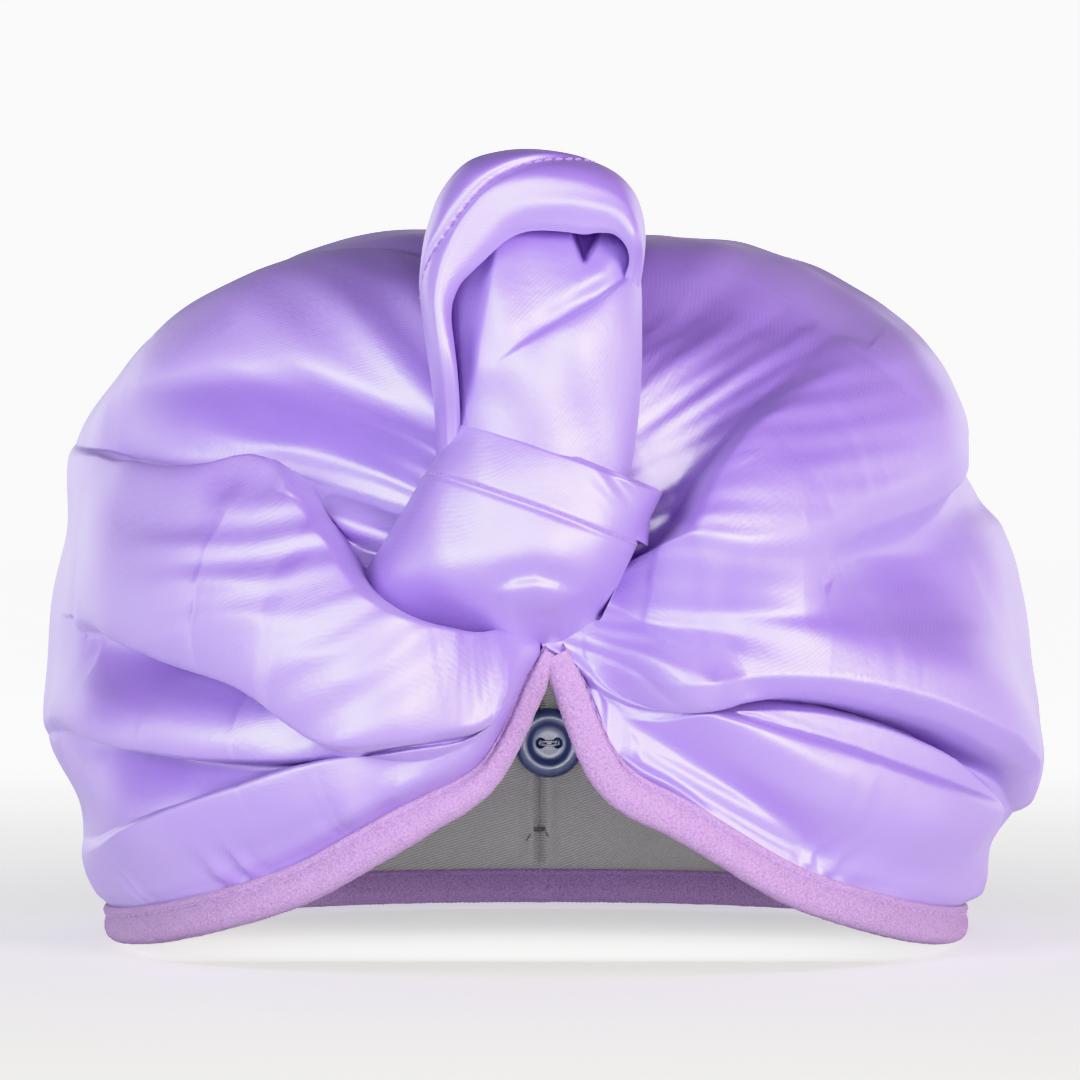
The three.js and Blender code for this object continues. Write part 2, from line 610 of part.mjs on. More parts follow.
const tailRoll = rollSolid(0).subtract(hoodSpace);
const cuffSpace = cuffSolid(pieceGap, pieceGap);
const cuffInside = cuffSolid(-cuffWall, 3 * cuffWall);
const tailCuff = cuffSolid(0, 0).subtract(cuffInside).subtract(rollSpace).subtract(hoodSpace);
const tailLoop = loopSolid().subtract(rollSpace).subtract(cuffSpace).subtract(hoodSpace);

// The button and its thread, on the lining over the nape.
const napeFace = (() => {
  const inside = new THREE.Raycaster(
    new THREE.Vector3(buttonShift, 0, buttonHeight),
    new THREE.Vector3(0, 1, 0),
  );
  const lining = meshOf("probe", liningSolid, 0xffffff, 1);
  lining.material.side = THREE.DoubleSide;
  return inside.intersectObject(lining)[0].point.y;
})();
const buttonBack = napeFace - pieceGap - 0.6;
function buttonSolid() {
  const radius = buttonDiameter / 2;
  const half = buttonThickness / 2;
  const dish = radius * 0.52;
  const profile = [
    [0, -half],
    [radius * 0.7, -half],
    [radius, -half * 0.2],
    [radius, half * 0.3],
    [radius * 0.86, half],
    [radius * 0.66, half],
    [dish, half * 0.35],
    [0, half * 0.2],
  ].map(([r, h]) => new THREE.Vector2(r, h));
  const disc = solidOfGeometry(new THREE.LatheGeometry(profile, 32));
  return [-1, 1].reduce((solid, way) => {
    const drill = new THREE.CylinderGeometry(buttonHole / 2, buttonHole / 2, 3 * buttonThickness, 12);
    drill.translate((way * holeSpacing) / 2, 0, 0);
    return solid.subtract(solidOfGeometry(drill));
  }, disc);
}

// One stitch of thread: down through both holes from a bar across the front.
function threadSolid() {
  const half = holeSpacing / 2;
  const front = buttonThickness / 2 + threadDiameter * 0.2;
  const back = -buttonThickness / 2 - 0.6;
  const path = new THREE.CatmullRomCurve3(
    [
      [-half, back],
      [-half, 0],
      [-half * 0.85, front * 0.8],
      [0, front + threadDiameter * 0.4],
      [half * 0.85, front * 0.8],
      [half, 0],
      [half, back],
    ].map(([x, h]) => new THREE.Vector3(x, h, 0)),
  );
  const section = new THREE.Shape().absarc(0, 0, threadDiameter / 2, 0, 2 * Math.PI);
  return solidOfGeometry(
    new THREE.ExtrudeGeometry(section, {
      steps: 14,
      curveSegments: 4,
      extrudePath: path,
      bevelEnabled: false,
    }),
  );
}

const turban = new THREE.Group();
const satinColor = 0xb49ae6;
const plushColor = 0xb191cf;
turban.add(
  meshOf("satin_hood", satinSolid, satinColor, 0.35),
  meshOf("towel_lining", liningSolid, 0xa3a19c, 0.95),
  meshOf("edge_binding", bindingSolid, plushColor, 0.95),
  meshOf("tail_roll", tailRoll, satinColor, 0.35),
  meshOf("tail_cuff", tailCuff, satinColor, 0.35),
  meshOf("tail_loop", tailLoop, satinColor, 0.35),
);

// The button faces the forehead: its own axis turns from +Y to -Y.
const fastening = new THREE.Group();
fastening.rotation.x = Math.PI;
fastening.position.set(buttonShift, buttonBack - buttonThickness / 2, buttonHeight);
fastening.add(
  meshOf("button", buttonSolid(), 0x6a7099, 0.3),
  meshOf("button_thread", threadSolid(), 0xb9b4cf, 0.7),
);
turban.add(fastening);

export default turban;
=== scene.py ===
"""Hair turban towel: a lilac satin hood with a grey twill lining and a plush binding, whose tail is
rolled, looped over and wrapped into an upright knot at the forehead.

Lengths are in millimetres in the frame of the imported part: +X is the picture's right, -Y is the
forehead and +Z is up. They turn into metres where a mesh is made."""

import math

import bpy
import numpy as np
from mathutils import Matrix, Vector


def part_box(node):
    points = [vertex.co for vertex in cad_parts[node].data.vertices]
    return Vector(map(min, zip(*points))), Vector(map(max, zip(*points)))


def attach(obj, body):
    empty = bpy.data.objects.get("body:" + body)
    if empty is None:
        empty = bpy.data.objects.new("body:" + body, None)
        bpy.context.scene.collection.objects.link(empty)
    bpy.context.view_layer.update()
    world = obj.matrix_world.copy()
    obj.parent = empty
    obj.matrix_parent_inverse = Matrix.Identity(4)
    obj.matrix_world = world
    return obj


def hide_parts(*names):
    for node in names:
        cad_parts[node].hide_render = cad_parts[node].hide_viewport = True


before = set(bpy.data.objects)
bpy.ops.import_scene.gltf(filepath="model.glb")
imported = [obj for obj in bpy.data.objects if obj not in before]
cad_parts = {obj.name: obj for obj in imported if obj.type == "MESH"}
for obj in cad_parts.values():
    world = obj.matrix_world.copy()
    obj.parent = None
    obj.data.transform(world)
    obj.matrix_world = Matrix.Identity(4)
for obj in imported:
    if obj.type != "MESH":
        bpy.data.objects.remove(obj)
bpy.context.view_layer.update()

MM = 0.001
LEFT = -1
RIGHT = 1

# Camera: level with the middle of the hood, seen from 1.4 m
camera_distance = 1400
camera_rise = math.radians(0.5)
camera_aim = Vector((0, 0, 96.8))
frame_width = 1080 / 4.1
sensor_width = 36

# Sizes of the hood, as in the solids
hood_width = 224
crown_height = 165
forehead_depth = 112
nape_depth = 103
gather_height = 75
gather_offset = 3.6
hem_height = 3.8
satin_stand_off = 1.2

# Sizes of the edge
binding_cover = 6.5
binding_start = 0.003
thread_radius = 0.24
edge_stitch_pitch = 2.9
hem_stitch_pitch = 2.4

# Where the knot's face is
knot_face = -141

# Cloth lengths that one unit of u and of w stand for, in the waves and puckers
cloth_around = 390
cloth_across = 190

fineness = 1


def clip01(x):
    return np.clip(x, 0.0, 1.0)


def plain_step(x, low, high):
    t = clip01((x - low) / (high - low))
    return t * t * (3 - 2 * t)


def smooth(x, low, high):
    """A step from 0 to 1 whose curvature has no jump, so that a highlight runs over it unbroken."""
    t = clip01((x - low) / (high - low))
    return t**3 * (t * (6 * t - 15) + 10)


def mix(a, b, t):
    return a + (b - a) * t


def bell(x, width):
    return np.exp(-0.5 * (x / width) ** 2)


def table_curve(xs, ys):
    """A smooth curve through table rows that never overshoots between two of them."""
    xs = np.asarray(xs, float)
    ys = np.asarray(ys, float)
    slopes = np.diff(ys) / np.diff(xs)
    tangents = np.zeros(len(xs))
    tangents[0] = slopes[0]
    tangents[-1] = slopes[-1]
    product = slopes[:-1] * slopes[1:]
    total = slopes[:-1] + slopes[1:]
    same = product > 0
    tangents[1:-1][same] = 2 * product[same] / total[same]

    def curve(x):
        x = np.clip(x, xs[0], xs[-1])
        i = np.clip(np.searchsorted(xs, x, side="right") - 1, 0, len(xs) - 2)
        h = xs[i + 1] - xs[i]
        t = (x - xs[i]) / h
        t2 = t * t
        t3 = t2 * t
        return (
            (2 * t3 - 3 * t2 + 1) * ys[i]
            + (t3 - 2 * t2 + t) * h * tangents[i]
            + (3 * t2 - 2 * t3) * ys[i + 1]
            + (t3 - t2) * h * tangents[i + 1]
        )

    return curve


def columns(rows):
    """The columns of a table of rows, as arrays."""
    return [np.array(column, float) for column in zip(*rows)]


# Meshes

def placed(name, data):
    """A new object in the scene."""
    obj = bpy.data.objects.new(name, data)
    bpy.context.scene.collection.objects.link(obj)
    return obj


def grid_mesh(name, points, grain, closed=False):
    """A smooth mesh over a grid of points. grain holds each grid point's place on the flat cloth, with
    one row more than points where the grid closes on itself."""
    rows, cols = points.shape[:2]
    strips = rows if closed else rows - 1
    i, j = np.meshgrid(np.arange(strips), np.arange(cols - 1), indexing="ij")
    corners_i = np.stack([i, i + 1, i + 1, i], -1).reshape(-1, 4)
    corners_j = np.stack([j, j, j + 1, j + 1], -1).reshape(-1, 4)
    faces = (corners_i % rows) * cols + corners_j
    mesh = bpy.data.meshes.new(name)
    mesh.vertices.add(rows * cols)
    mesh.vertices.foreach_set("co", (points.reshape(-1) * MM).astype(np.float32))
    mesh.loops.add(faces.size)
    mesh.loops.foreach_set("vertex_index", faces.reshape(-1).astype(np.int32))
    mesh.polygons.add(len(faces))
    mesh.polygons.foreach_set("loop_start", np.arange(0, faces.size, 4, dtype=np.int32))
    mesh.update(calc_edges=True)
    mesh.shade_smooth()
    layer = mesh.uv_layers.new(name="grain")
    flat = grain[corners_i.reshape(-1), corners_j.reshape(-1)] * MM
    layer.data.foreach_set("uv", flat.astype(np.float32).reshape(-1))
    mesh.validate()
    return placed(name, mesh)


def finish_piece(obj, material, slot, *stands_for):
    """Gives a piece its material, and joins it to the frame."""
    obj.data.materials.append(material)
    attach(obj, "root")
    if stands_for:
        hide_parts(*stands_for)
    return obj


def travelled(points):
    """How far along a row of points each of them lies."""
    steps = np.linalg.norm(np.diff(points, axis=0), axis=-1)
    return np.concatenate([[0], np.cumsum(steps)])


def turn_angles(count):
    return np.linspace(0, 2 * np.pi, count, endpoint=False)


# Materials

def node(tree, kind, **values):
    made = tree.nodes.new(kind)
    for key, value in values.items():
        setattr(made, key, value)
    return made


def blank_material(name):
    material = bpy.data.materials.new(name)
    material.use_nodes = True
    tree = material.node_tree
    shader = tree.nodes["Principled BSDF"]
    return material, tree, shader


def grain_vector(tree, angle):
    """The place on the cloth in metres, turned so that its X runs across the weave."""
    uv = node(tree, "ShaderNodeUVMap", uv_map="grain")
    turned = node(tree, "ShaderNodeMapping")
    turned.inputs["Rotation"].default_value = (0, 0, math.radians(angle))
    tree.links.new(uv.outputs["UV"], turned.inputs["Vector"])
    return turned.outputs["Vector"]


def twill(tree, pitch, angle, wobble):
    """Fine diagonal ribs at a pitch in millimetres, 0 to 1."""
    wave = node(tree, "ShaderNodeTexWave", wave_type="BANDS", bands_direction="X", wave_profile="SIN")
    wave.inputs["Scale"].default_value = 2 * math.pi / (pitch * MM) / 20
    wave.inputs["Distortion"].default_value = wobble
    wave.inputs["Detail"].default_value = 1.5
    wave.inputs["Detail Scale"].default_value = 1.2
    tree.links.new(grain_vector(tree, angle), wave.inputs["Vector"])
    return wave.outputs["Fac"]


def noise(tree, scale_mm, detail, source="Object", roughness=0.55):
    coordinates = node(tree, "ShaderNodeTexCoord")
    texture = node(tree, "ShaderNodeTexNoise")
    texture.inputs["Scale"].default_value = 1 / (scale_mm * MM)
    texture.inputs["Detail"].default_value = detail
    texture.inputs["Roughness"].default_value = roughness
    tree.links.new(coordinates.outputs[source], texture.inputs["Vector"])
    return texture.outputs["Fac"]


def bump(tree, height, distance_mm, strength, after=None):
    made = node(tree, "ShaderNodeBump")
    made.inputs["Strength"].default_value = strength
    made.inputs["Distance"].default_value = distance_mm * MM
    tree.links.new(height, made.inputs["Height"])
    if after is not None:
        tree.links.new(after, made.inputs["Normal"])
    return made.outputs["Normal"]


def ramp(tree, factor, stops):
    made = node(tree, "ShaderNodeValToRGB")
    elements = made.color_ramp.elements
    while len(elements) < len(stops):
        elements.new(0.5)
    for element, (position, color) in zip(elements, stops):
        element.position = position
        element.color = (*color, 1)
    tree.links.new(factor, made.inputs["Fac"])
    return made.outputs["Color"]


def linear(red, green, blue):
    """A colour read as 0 to 255 on screen, as the shader takes it."""
    return tuple(
        (c / 255 / 12.92) if c <= 10 else ((c / 255 + 0.055) / 1.055) ** 2.4
        for c in (red, green, blue)
    )


def dye(tree, shader, factor, stops):
    """Gives the shader a base colour that runs over the factor between colours read on screen."""
    color = ramp(tree, factor, [(position, linear(*seen)) for position, seen in stops])
    tree.links.new(color, shader.inputs["Base Color"])


def set_values(shader, values):
    for name, value in values.items():
        shader.inputs[name].default_value = value


def satin_material():
    material, tree, shader = blank_material("satin")
    broad = noise(tree, 30, 3)
    color = ramp(tree, broad, [(0.35, linear(124, 92, 181)), (0.65, linear(133, 100, 190))])
    weave = twill(tree, 0.8, 38, 0.5)
    threads = ramp(tree, weave, [(0.0, (0.86, 0.84, 0.9)), (1.0, (1.0, 1.0, 1.0))])
    woven = node(tree, "ShaderNodeMixRGB", blend_type="MULTIPLY")
    woven.inputs["Fac"].default_value = 1.0
    tree.links.new(color, woven.inputs["Color1"])
    tree.links.new(threads, woven.inputs["Color2"])
    tree.links.new(woven.outputs["Color"], shader.inputs["Base Color"])
    set_values(shader, {
        "Roughness": 0.53,
        "IOR": 2.25,
        "Anisotropic": 0.3,
        "Specular IOR Level": 1.0,
        "Sheen Weight": 0.06,
        "Sheen Roughness": 0.4,
        "Sheen Tint": (*linear(225, 210, 255), 1),
    })
    tangent = node(tree, "ShaderNodeTangent", direction_type="UV_MAP", uv_map="grain")
    tree.links.new(tangent.outputs["Tangent"], shader.inputs["Tangent"])
    ribs = bump(tree, weave, 0.06, 0.2)
    crinkle = bump(tree, noise(tree, 9.0, 3), 0.6, 0.25, ribs)
    tree.links.new(bump(tree, noise(tree, 1.6, 4), 0.2, 0.4, crinkle), shader.inputs["Normal"])
    return material


def lining_material():
    material, tree, shader = blank_material("lining")
    ribs = twill(tree, 0.66, 74, 1.2)
    mottle = noise(tree, 0.6, 5)
    mixed = node(tree, "ShaderNodeMath", operation="MULTIPLY")
    tree.links.new(ribs, mixed.inputs[0])
    tree.links.new(mottle, mixed.inputs[1])
    dye(tree, shader, mixed.outputs[0], [(0.05, (134, 133, 136)), (0.55, (168, 165, 166))])
    set_values(shader, {"Roughness": 0.92, "Specular IOR Level": 0.2, "Sheen Weight": 0.15})
    tree.links.new(bump(tree, mixed.outputs[0], 0.25, 0.7), shader.inputs["Normal"])
    return material


def plush_material():
    material, tree, shader = blank_material("plush")
    fluff = noise(tree, 0.55, 6, roughness=0.7)
    dye(tree, shader, fluff, [(0.3, (118, 93, 138)), (0.7, (164, 137, 178))])
    set_values(shader, {
        "Roughness": 0.95,
        "Specular IOR Level": 0.1,
        "Sheen Weight": 0.3,
        "Sheen Roughness": 0.5,
        "Sheen Tint": (*linear(222, 200, 240), 1),
    })
    tree.links.new(bump(tree, fluff, 0.5, 0.9), shader.inputs["Normal"])
    return material


def thread_material(name, dark, light, roughness, sheen):
    """Twisted sewing thread between two colours."""
    material, tree, shader = blank_material(name)
    strands = noise(tree, 0.3, 2)
    dye(tree, shader, strands, [(0.3, dark), (0.7, light)])
    set_values(shader, {"Roughness": roughness, "Sheen Weight": sheen})
    tree.links.new(bump(tree, strands, 0.05, 0.5), shader.inputs["Normal"])
    return material


def button_material():
    material, tree, shader = blank_material("button")
    dye(tree, shader, noise(tree, 4, 2), [(0.3, (70, 76, 110)), (0.7, (82, 89, 124))])
    set_values(shader, {
        "Roughness": 0.34,
        "Specular IOR Level": 0.55,
        "Coat Weight": 0.2,
        "Coat Roughness": 0.12,
    })
    tree.links.new(bump(tree, noise(tree, 1.5, 3), 0.03, 0.3), shader.inputs["Normal"])
    return material


def clear_thread_material():
    material, tree, shader = blank_material("clear_thread")
    set_values(shader, {
        "Base Color": (*linear(214, 210, 226), 1),
        "Roughness": 0.2,
        "Transmission Weight": 0.55,
    })
    tree.links.new(bump(tree, noise(tree, 0.4, 2), 0.02, 0.4), shader.inputs["Normal"])
    return material


# The hood's smooth form, as in the solids but for a softer end of the seam's bulge at the crown

outline = [
    # w, left, right, up
    (0.0, 0.9, 0.885, 0.0),
    (0.08, 0.945, 0.92, 0.1),
    (0.18, 0.99, 0.973, 0.257),
    (0.28, 1.0, 0.991, 0.412),
    (0.39, 0.965, 0.955, 0.573),
    (0.5, 0.902, 0.875, 0.727),
    (0.62, 0.732, 0.741, 0.864),
    (0.75, 0.473, 0.518, 0.95),
    (0.88, 0.223, 0.25, 0.991),
    (1.0, 0.0, 0.0, 1.0),
]
front_hem = [
    # out, left
    (0.0, 1.0),
    (0.135, 0.56),
    (0.25, 0.43),
    (0.38, 0.31),
    (0.53, 0.19),
    (0.71, 0.1),
    (0.89, 0.03),
    (1.0, 0.0),
]
outline_w, outline_left, outline_right, outline_up = columns(outline)
outline_of = {
    LEFT: table_curve(outline_w, outline_left),
    RIGHT: table_curve(outline_w, outline_right),
}
up_of = table_curve(outline_w, outline_up)
hem_fall = table_curve(*columns(front_hem))
gather_top_forward = 0.714
gather_top_up = 0.855
seam_top_back = 0.7
seam_top_up = 0.867
seam_bulge = 0.078
hem_set_back = forehead_depth * 0.107


def hood_base(side, u, w):
    """The smooth surface under the folds. u runs along the cloth from the gather round the side to the
    back seam, and w across it from the hem to the middle of the crown."""
    around = np.pi * u
    out = clip01(np.sin(around))
    along = np.abs(np.cos(around)) ** 0.9
    half = side * outline_of[side](w) * hood_width / 2
    side_up = mix(hem_height, crown_height, up_of(w))
    side_y = -hem_set_back * (1 - np.minimum(w / 0.3, 1))
    root_share = 0.12 * w + 0.88 * w**2.2
    front = u <= 0.5
    end_x = np.where(front, gather_offset * (1 - w), 0.0)
    front_y = -forehead_depth * mix(1, gather_top_forward, root_share)
    bulge = seam_bulge * np.sin(np.pi * clip01(w * 1.3)) ** (1 + 0.8 * smooth(w, 0.4, 0.75))
    back_y = nape_depth * (mix(1, seam_top_back, w**2.5) + bulge)
    end_y = np.where(front, front_y, back_y)
    front_up = mix(gather_height, gather_top_up * crown_height, root_share)
    back_up = mix(hem_height, seam_top_up * crown_height, w)
    end_up = np.where(front, front_up, back_up)
    rounded = 1 - out**2
    gathered = mix((1 - out) ** (1 + 1.6 * (1 - w) ** 1.5), rounded, plain_step(w, 0.7, 1))
    fall = np.where(front, mix(hem_fall(out), gathered, plain_step(w, 0, 0.35)), rounded)
    return np.stack(
        [mix(end_x, half, out**0.92), mix(side_y, end_y, along), mix(side_up, end_up, fall)], -1
    )


def unit(v):
    return v / np.maximum(np.linalg.norm(v, axis=-1, keepdims=True), 1e-9)


def surface_frame(side, u, w, step=0.004):
    """Directions along u, across w and outward, and how many millimetres one unit of w is."""
    u0 = np.clip(u, 0.012, 0.988)
    w0 = np.clip(w, 0.006, 0.985)
    along = hood_base(side, u0 + step, w0) - hood_base(side, u0 - step, w0)
    across = hood_base(side, u0, w0 + step) - hood_base(side, u0, w0 - step)
    per_w = np.linalg.norm(across, axis=-1) / (2 * step)
    per_u = np.linalg.norm(along, axis=-1) / (2 * step)
    normal = unit(np.cross(along, across)) * side
    return unit(along), unit(across), normal, per_w, per_u


# The folds. Each row of a fold is a station on its line: u and w on the cloth, and its rise in
# millimetres. under and over are how far it reaches towards the hem and the crown, and lean is how far
# its crest rolls over, towards the crown where it is above zero.
folds = {
    LEFT: [
        dict(name="upper puff", under=9, over=22, lean=-5.0, at=[
            (0.03, 0.73, 4.0), (0.08, 0.70, 8.0), (0.131, 0.665, 10.5), (0.179, 0.64, 11.5),
            (0.227, 0.605, 11.0), (0.274, 0.58, 9.5), (0.332, 0.555, 8.0), (0.394, 0.525, 6.0),
            (0.52, 0.51, 3.0)]),
        dict(name="hollow", under=9, over=10, lean=0, at=[
            (0.03, 0.50, -2.0), (0.06, 0.51, -6.0), (0.093, 0.52, -9.0), (0.13, 0.53, -10.0),
            (0.172, 0.54, -10.0), (0.22, 0.515, -8.0), (0.26, 0.5, -6.0), (0.34, 0.5, -2.0)]),
        dict(name="small roll", under=2.4, over=3.6, lean=1.2, at=[
            (0.05, 0.43, 1.0), (0.075, 0.435, 3.0), (0.097, 0.44, 5.0), (0.118, 0.445, 5.5),
            (0.136, 0.45, 4.0), (0.15, 0.46, 1.0)]),
        dict(name="swag, upper edge", under=20, over=1.8, lean=4.0, at=[
            (0.0, 0.11, 3.0), (0.012, 0.142, 6.0), (0.039, 0.195, 11.0), (0.067, 0.238, 12.5),
            (0.088, 0.275, 12.0), (0.103, 0.312, 12.0), (0.126, 0.38, 12.5), (0.15, 0.43, 13.0),
            (0.172, 0.465, 12.5), (0.197, 0.445, 11.0), (0.232, 0.436, 9.0), (0.28, 0.44, 7.0),
            (0.348, 0.458, 5.0), (0.47, 0.465, 2.5)]),
        dict(name="swag, lower edge", under=1.8, over=16, lean=-4.0, at=[
            (0.0, 0.02, 0.6), (0.014, 0.06, 2.4), (0.031, 0.12, 4.6), (0.053, 0.149, 6.5),
            (0.076, 0.161, 7.6), (0.099, 0.175, 8.4), (0.117, 0.198, 8.8), (0.132, 0.229, 9.2),
            (0.151, 0.258, 9.4), (0.172, 0.274, 9.4), (0.222, 0.298, 9.0), (0.255, 0.314, 7.5),
            (0.29, 0.319, 4.5), (0.34, 0.315, 1.5)]),
        dict(name="pocket", under=6, over=4.2, lean=0, at=[
            (0.04, 0.12, -1.0), (0.076, 0.137, -2.5), (0.1, 0.15, -3.5), (0.132, 0.2, -6.0),
            (0.172, 0.246, -7.0), (0.222, 0.27, -8.0), (0.26, 0.287, -6.5), (0.31, 0.295, -2.0)]),
        dict(name="second pleat", under=1.8, over=8, lean=-3.0, at=[
            (0.008, 0.03, 0.5), (0.021, 0.078, 1.2), (0.035, 0.1, 2.4), (0.06, 0.104, 3.2),
            (0.08, 0.116, 4.0), (0.1, 0.139, 4.6), (0.121, 0.16, 5.4), (0.158, 0.177, 6.4),
            (0.202, 0.191, 6.8), (0.258, 0.208, 7.0), (0.314, 0.217, 6.4), (0.368, 0.224, 5.4),
            (0.5, 0.21, 2.0)]),
        dict(name="second pocket", under=4.6, over=4.2, lean=0, at=[
            (0.05, 0.09, -1.5), (0.08, 0.1, -3.0), (0.121, 0.143, -4.0), (0.158, 0.156, -5.0),
            (0.202, 0.167, -6.0), (0.258, 0.184, -6.0), (0.314, 0.193, -5.0), (0.4, 0.195, -2.0)]),
        dict(name="low pleat", under=9, over=1.8, lean=3.0, at=[
            (0.012, 0.03, 0.6), (0.023, 0.05, 1.6), (0.052, 0.085, 3.2), (0.075, 0.104, 4.4),
            (0.1, 0.115, 5.4), (0.126, 0.121, 6.0), (0.157, 0.124, 6.0), (0.192, 0.122, 5.4),
            (0.252, 0.113, 4.4), (0.325, 0.102, 3.4), (0.371, 0.097, 2.6), (0.5, 0.09, 1.0)]),
        dict(name="crown crease", under=2.4, over=4, lean=0, at=[
            (0.18, 0.88, 0), (0.257, 0.806, -1.4), (0.288, 0.757, -1.8), (0.383, 0.716, -1.6),
            (0.488, 0.68, -0.8)]),
        dict(name="crown puff", under=14, over=20, lean=0, at=[
            (0.05, 0.93, 1.5), (0.2, 0.89, 3.0), (0.35, 0.85, 3.6), (0.5, 0.8, 3.4)]),
    ],
    RIGHT: [
        dict(name="knot ridge", under=15, over=3.4, lean=2.4, at=[
            (0.012, 0.34, 2.0), (0.04, 0.36, 6.0), (0.077, 0.39, 9.0), (0.09, 0.42, 10.0),
            (0.1, 0.455, 10.0), (0.116, 0.495, 9.0), (0.141, 0.53, 7.0), (0.169, 0.55, 4.5),
            (0.21, 0.57, 2.0), (0.26, 0.59, 0.5)]),
        dict(name="knot hollow", under=5, over=12, lean=0, at=[
            (0.03, 0.43, -4.0), (0.056, 0.46, -6.0), (0.077, 0.5, -7.0), (0.087, 0.53, -7.0),
            (0.105, 0.575, -6.0), (0.13, 0.61, -4.0), (0.163, 0.635, -2.5), (0.22, 0.65, -1.0)]),
        dict(name="lobe crease", under=7, over=3.0, lean=0, at=[
            (0.18, 0.366, -1.0), (0.218, 0.383, -3.0), (0.266, 0.396, -4.5), (0.304, 0.411, -5.5),
            (0.366, 0.439, -6.5), (0.424, 0.459, -7.0), (0.5, 0.468, -6.0)]),
        dict(name="dimple", under=9, over=8, lean=0, at=[
            (0.14, 0.352, -1.0), (0.19, 0.352, -3.4), (0.216, 0.348, -4.0), (0.252, 0.346, -3.4),
            (0.32, 0.35, -1.0)]),
        dict(name="side puff, lower edge", under=5, over=13, lean=0, at=[
            (0.02, 0.365, 1.5), (0.043, 0.376, 2.6), (0.1, 0.404, 3.4), (0.158, 0.423, 3.8),
            (0.2, 0.442, 4.0), (0.243, 0.456, 4.0), (0.323, 0.472, 3.6), (0.42, 0.5, 2.0)]),
        dict(name="side puff", under=16, over=16, lean=0, at=[
            (0.15, 0.51, 1.5), (0.22, 0.525, 3.0), (0.3, 0.54, 4.5), (0.4, 0.555, 5.0),
            (0.52, 0.56, 3.0)]),
        dict(name="gather pocket", under=5, over=6, lean=0, at=[
            (0.004, 0.29, -2.0), (0.02, 0.296, -6.0), (0.039, 0.299, -8.0), (0.077, 0.291, -8.0),
            (0.1, 0.285, -6.4), (0.12, 0.28, -3.4), (0.15, 0.27, -0.5)]),
        dict(name="long pleat", under=1.8, over=15, lean=-4.0, at=[
            (0.004, 0.14, 1.2), (0.018, 0.148, 3.0), (0.037, 0.165, 4.6), (0.062, 0.184, 6.0),
            (0.084, 0.21, 7.0), (0.108, 0.235, 7.6), (0.136, 0.25, 8.4), (0.166, 0.252, 9.0),
            (0.208, 0.246, 9.6), (0.256, 0.234, 10.0), (0.298, 0.216, 10.4), (0.338, 0.197, 10.4),
            (0.38, 0.176, 10.0), (0.44, 0.152, 9.0), (0.52, 0.14, 7.0)]),
        dict(name="pleat pocket", under=2.6, over=3.2, lean=0, at=[
            (0.03, 0.14, -1.5), (0.062, 0.162, -4.0), (0.084, 0.19, -5.0), (0.108, 0.216, -5.5),
            (0.136, 0.231, -6.0), (0.166, 0.234, -6.0), (0.208, 0.229, -6.5), (0.256, 0.216, -7.0),
            (0.298, 0.199, -7.0), (0.338, 0.179, -7.0), (0.38, 0.158, -6.0), (0.44, 0.132, -4.0)]),
        dict(name="thin roll", under=1.8, over=3.2, lean=-1.6, at=[
            (0.003, 0.25, 0.8), (0.012, 0.252, 1.8), (0.028, 0.244, 2.8), (0.047, 0.232, 3.2),
            (0.063, 0.219, 3.0), (0.078, 0.212, 2.2), (0.1, 0.22, 0)]),
        dict(name="lower sheet", under=14, over=2.0, lean=1.6, at=[
            (0.01, 0.08, 1.2), (0.022, 0.112, 2.6), (0.045, 0.142, 4.0), (0.065, 0.15, 4.6),
            (0.088, 0.155, 4.8), (0.113, 0.16, 4.8), (0.16, 0.162, 4.4), (0.25, 0.15, 3.4),
            (0.4, 0.13, 1.5)]),
        dict(name="hem strip", under=3.0, over=1.6, lean=1.0, at=[
            (0.012, 0.03, 0.8), (0.03, 0.036, 2.0), (0.05, 0.04, 2.4), (0.08, 0.042, 2.4),
            (0.1, 0.036, 2.0), (0.13, 0.025, 0)]),
        dict(name="slanting crease", under=3.0, over=5.0, lean=0, at=[
            (0.012, 0.05, -2.5), (0.027, 0.066, -6.0), (0.053, 0.09, -8.0), (0.075, 0.098, -8.5),
            (0.1, 0.092, -8.0), (0.135, 0.07, -7.0), (0.168, 0.048, -5.5), (0.2, 0.03, -1.5)]),
        dict(name="crown hollow", under=9, over=9, lean=0, at=[
            (0.1, 0.88, -0.5), (0.174, 0.82, -2.0), (0.213, 0.756, -3.0), (0.244, 0.7, -3.0),
            (0.278, 0.655, -2.4), (0.36, 0.64, -0.8)]),
        dict(name="crown puff", under=14, over=20, lean=0, at=[
            (0.06, 0.93, 2.0), (0.165, 0.9, 3.4), (0.3, 0.84, 4.0), (0.5, 0.78, 3.4)]),
    ],
}

# How far each side stands out at its widest, in millimetres, read from the picture's outline
side_rise = {
    LEFT: [
        (0.0, 0.5), (0.04, 1.0), (0.08, 2.5), (0.13, 0.6), (0.2, 6.0), (0.3, 6.0), (0.39, 5.4),
        (0.47, 8.0), (0.55, 7.0), (0.65, 7.0), (0.75, 8.5), (0.9, 6.5), (1.0, 4.0)],
    RIGHT: [
        (0.0, 1.5), (0.07, 4.0), (0.1, 3.4), (0.14, 7.0), (0.185, 9.0), (0.22, 7.6), (0.3, 6.5),
        (0.35, 6.4), (0.4, 5.0), (0.435, 1.4), (0.467, 1.2), (0.5, 4.0), (0.58, 6.0), (0.65, 6.2),
        (0.75, 6.4), (0.88, 5.4), (1.0, 4.0)],
}

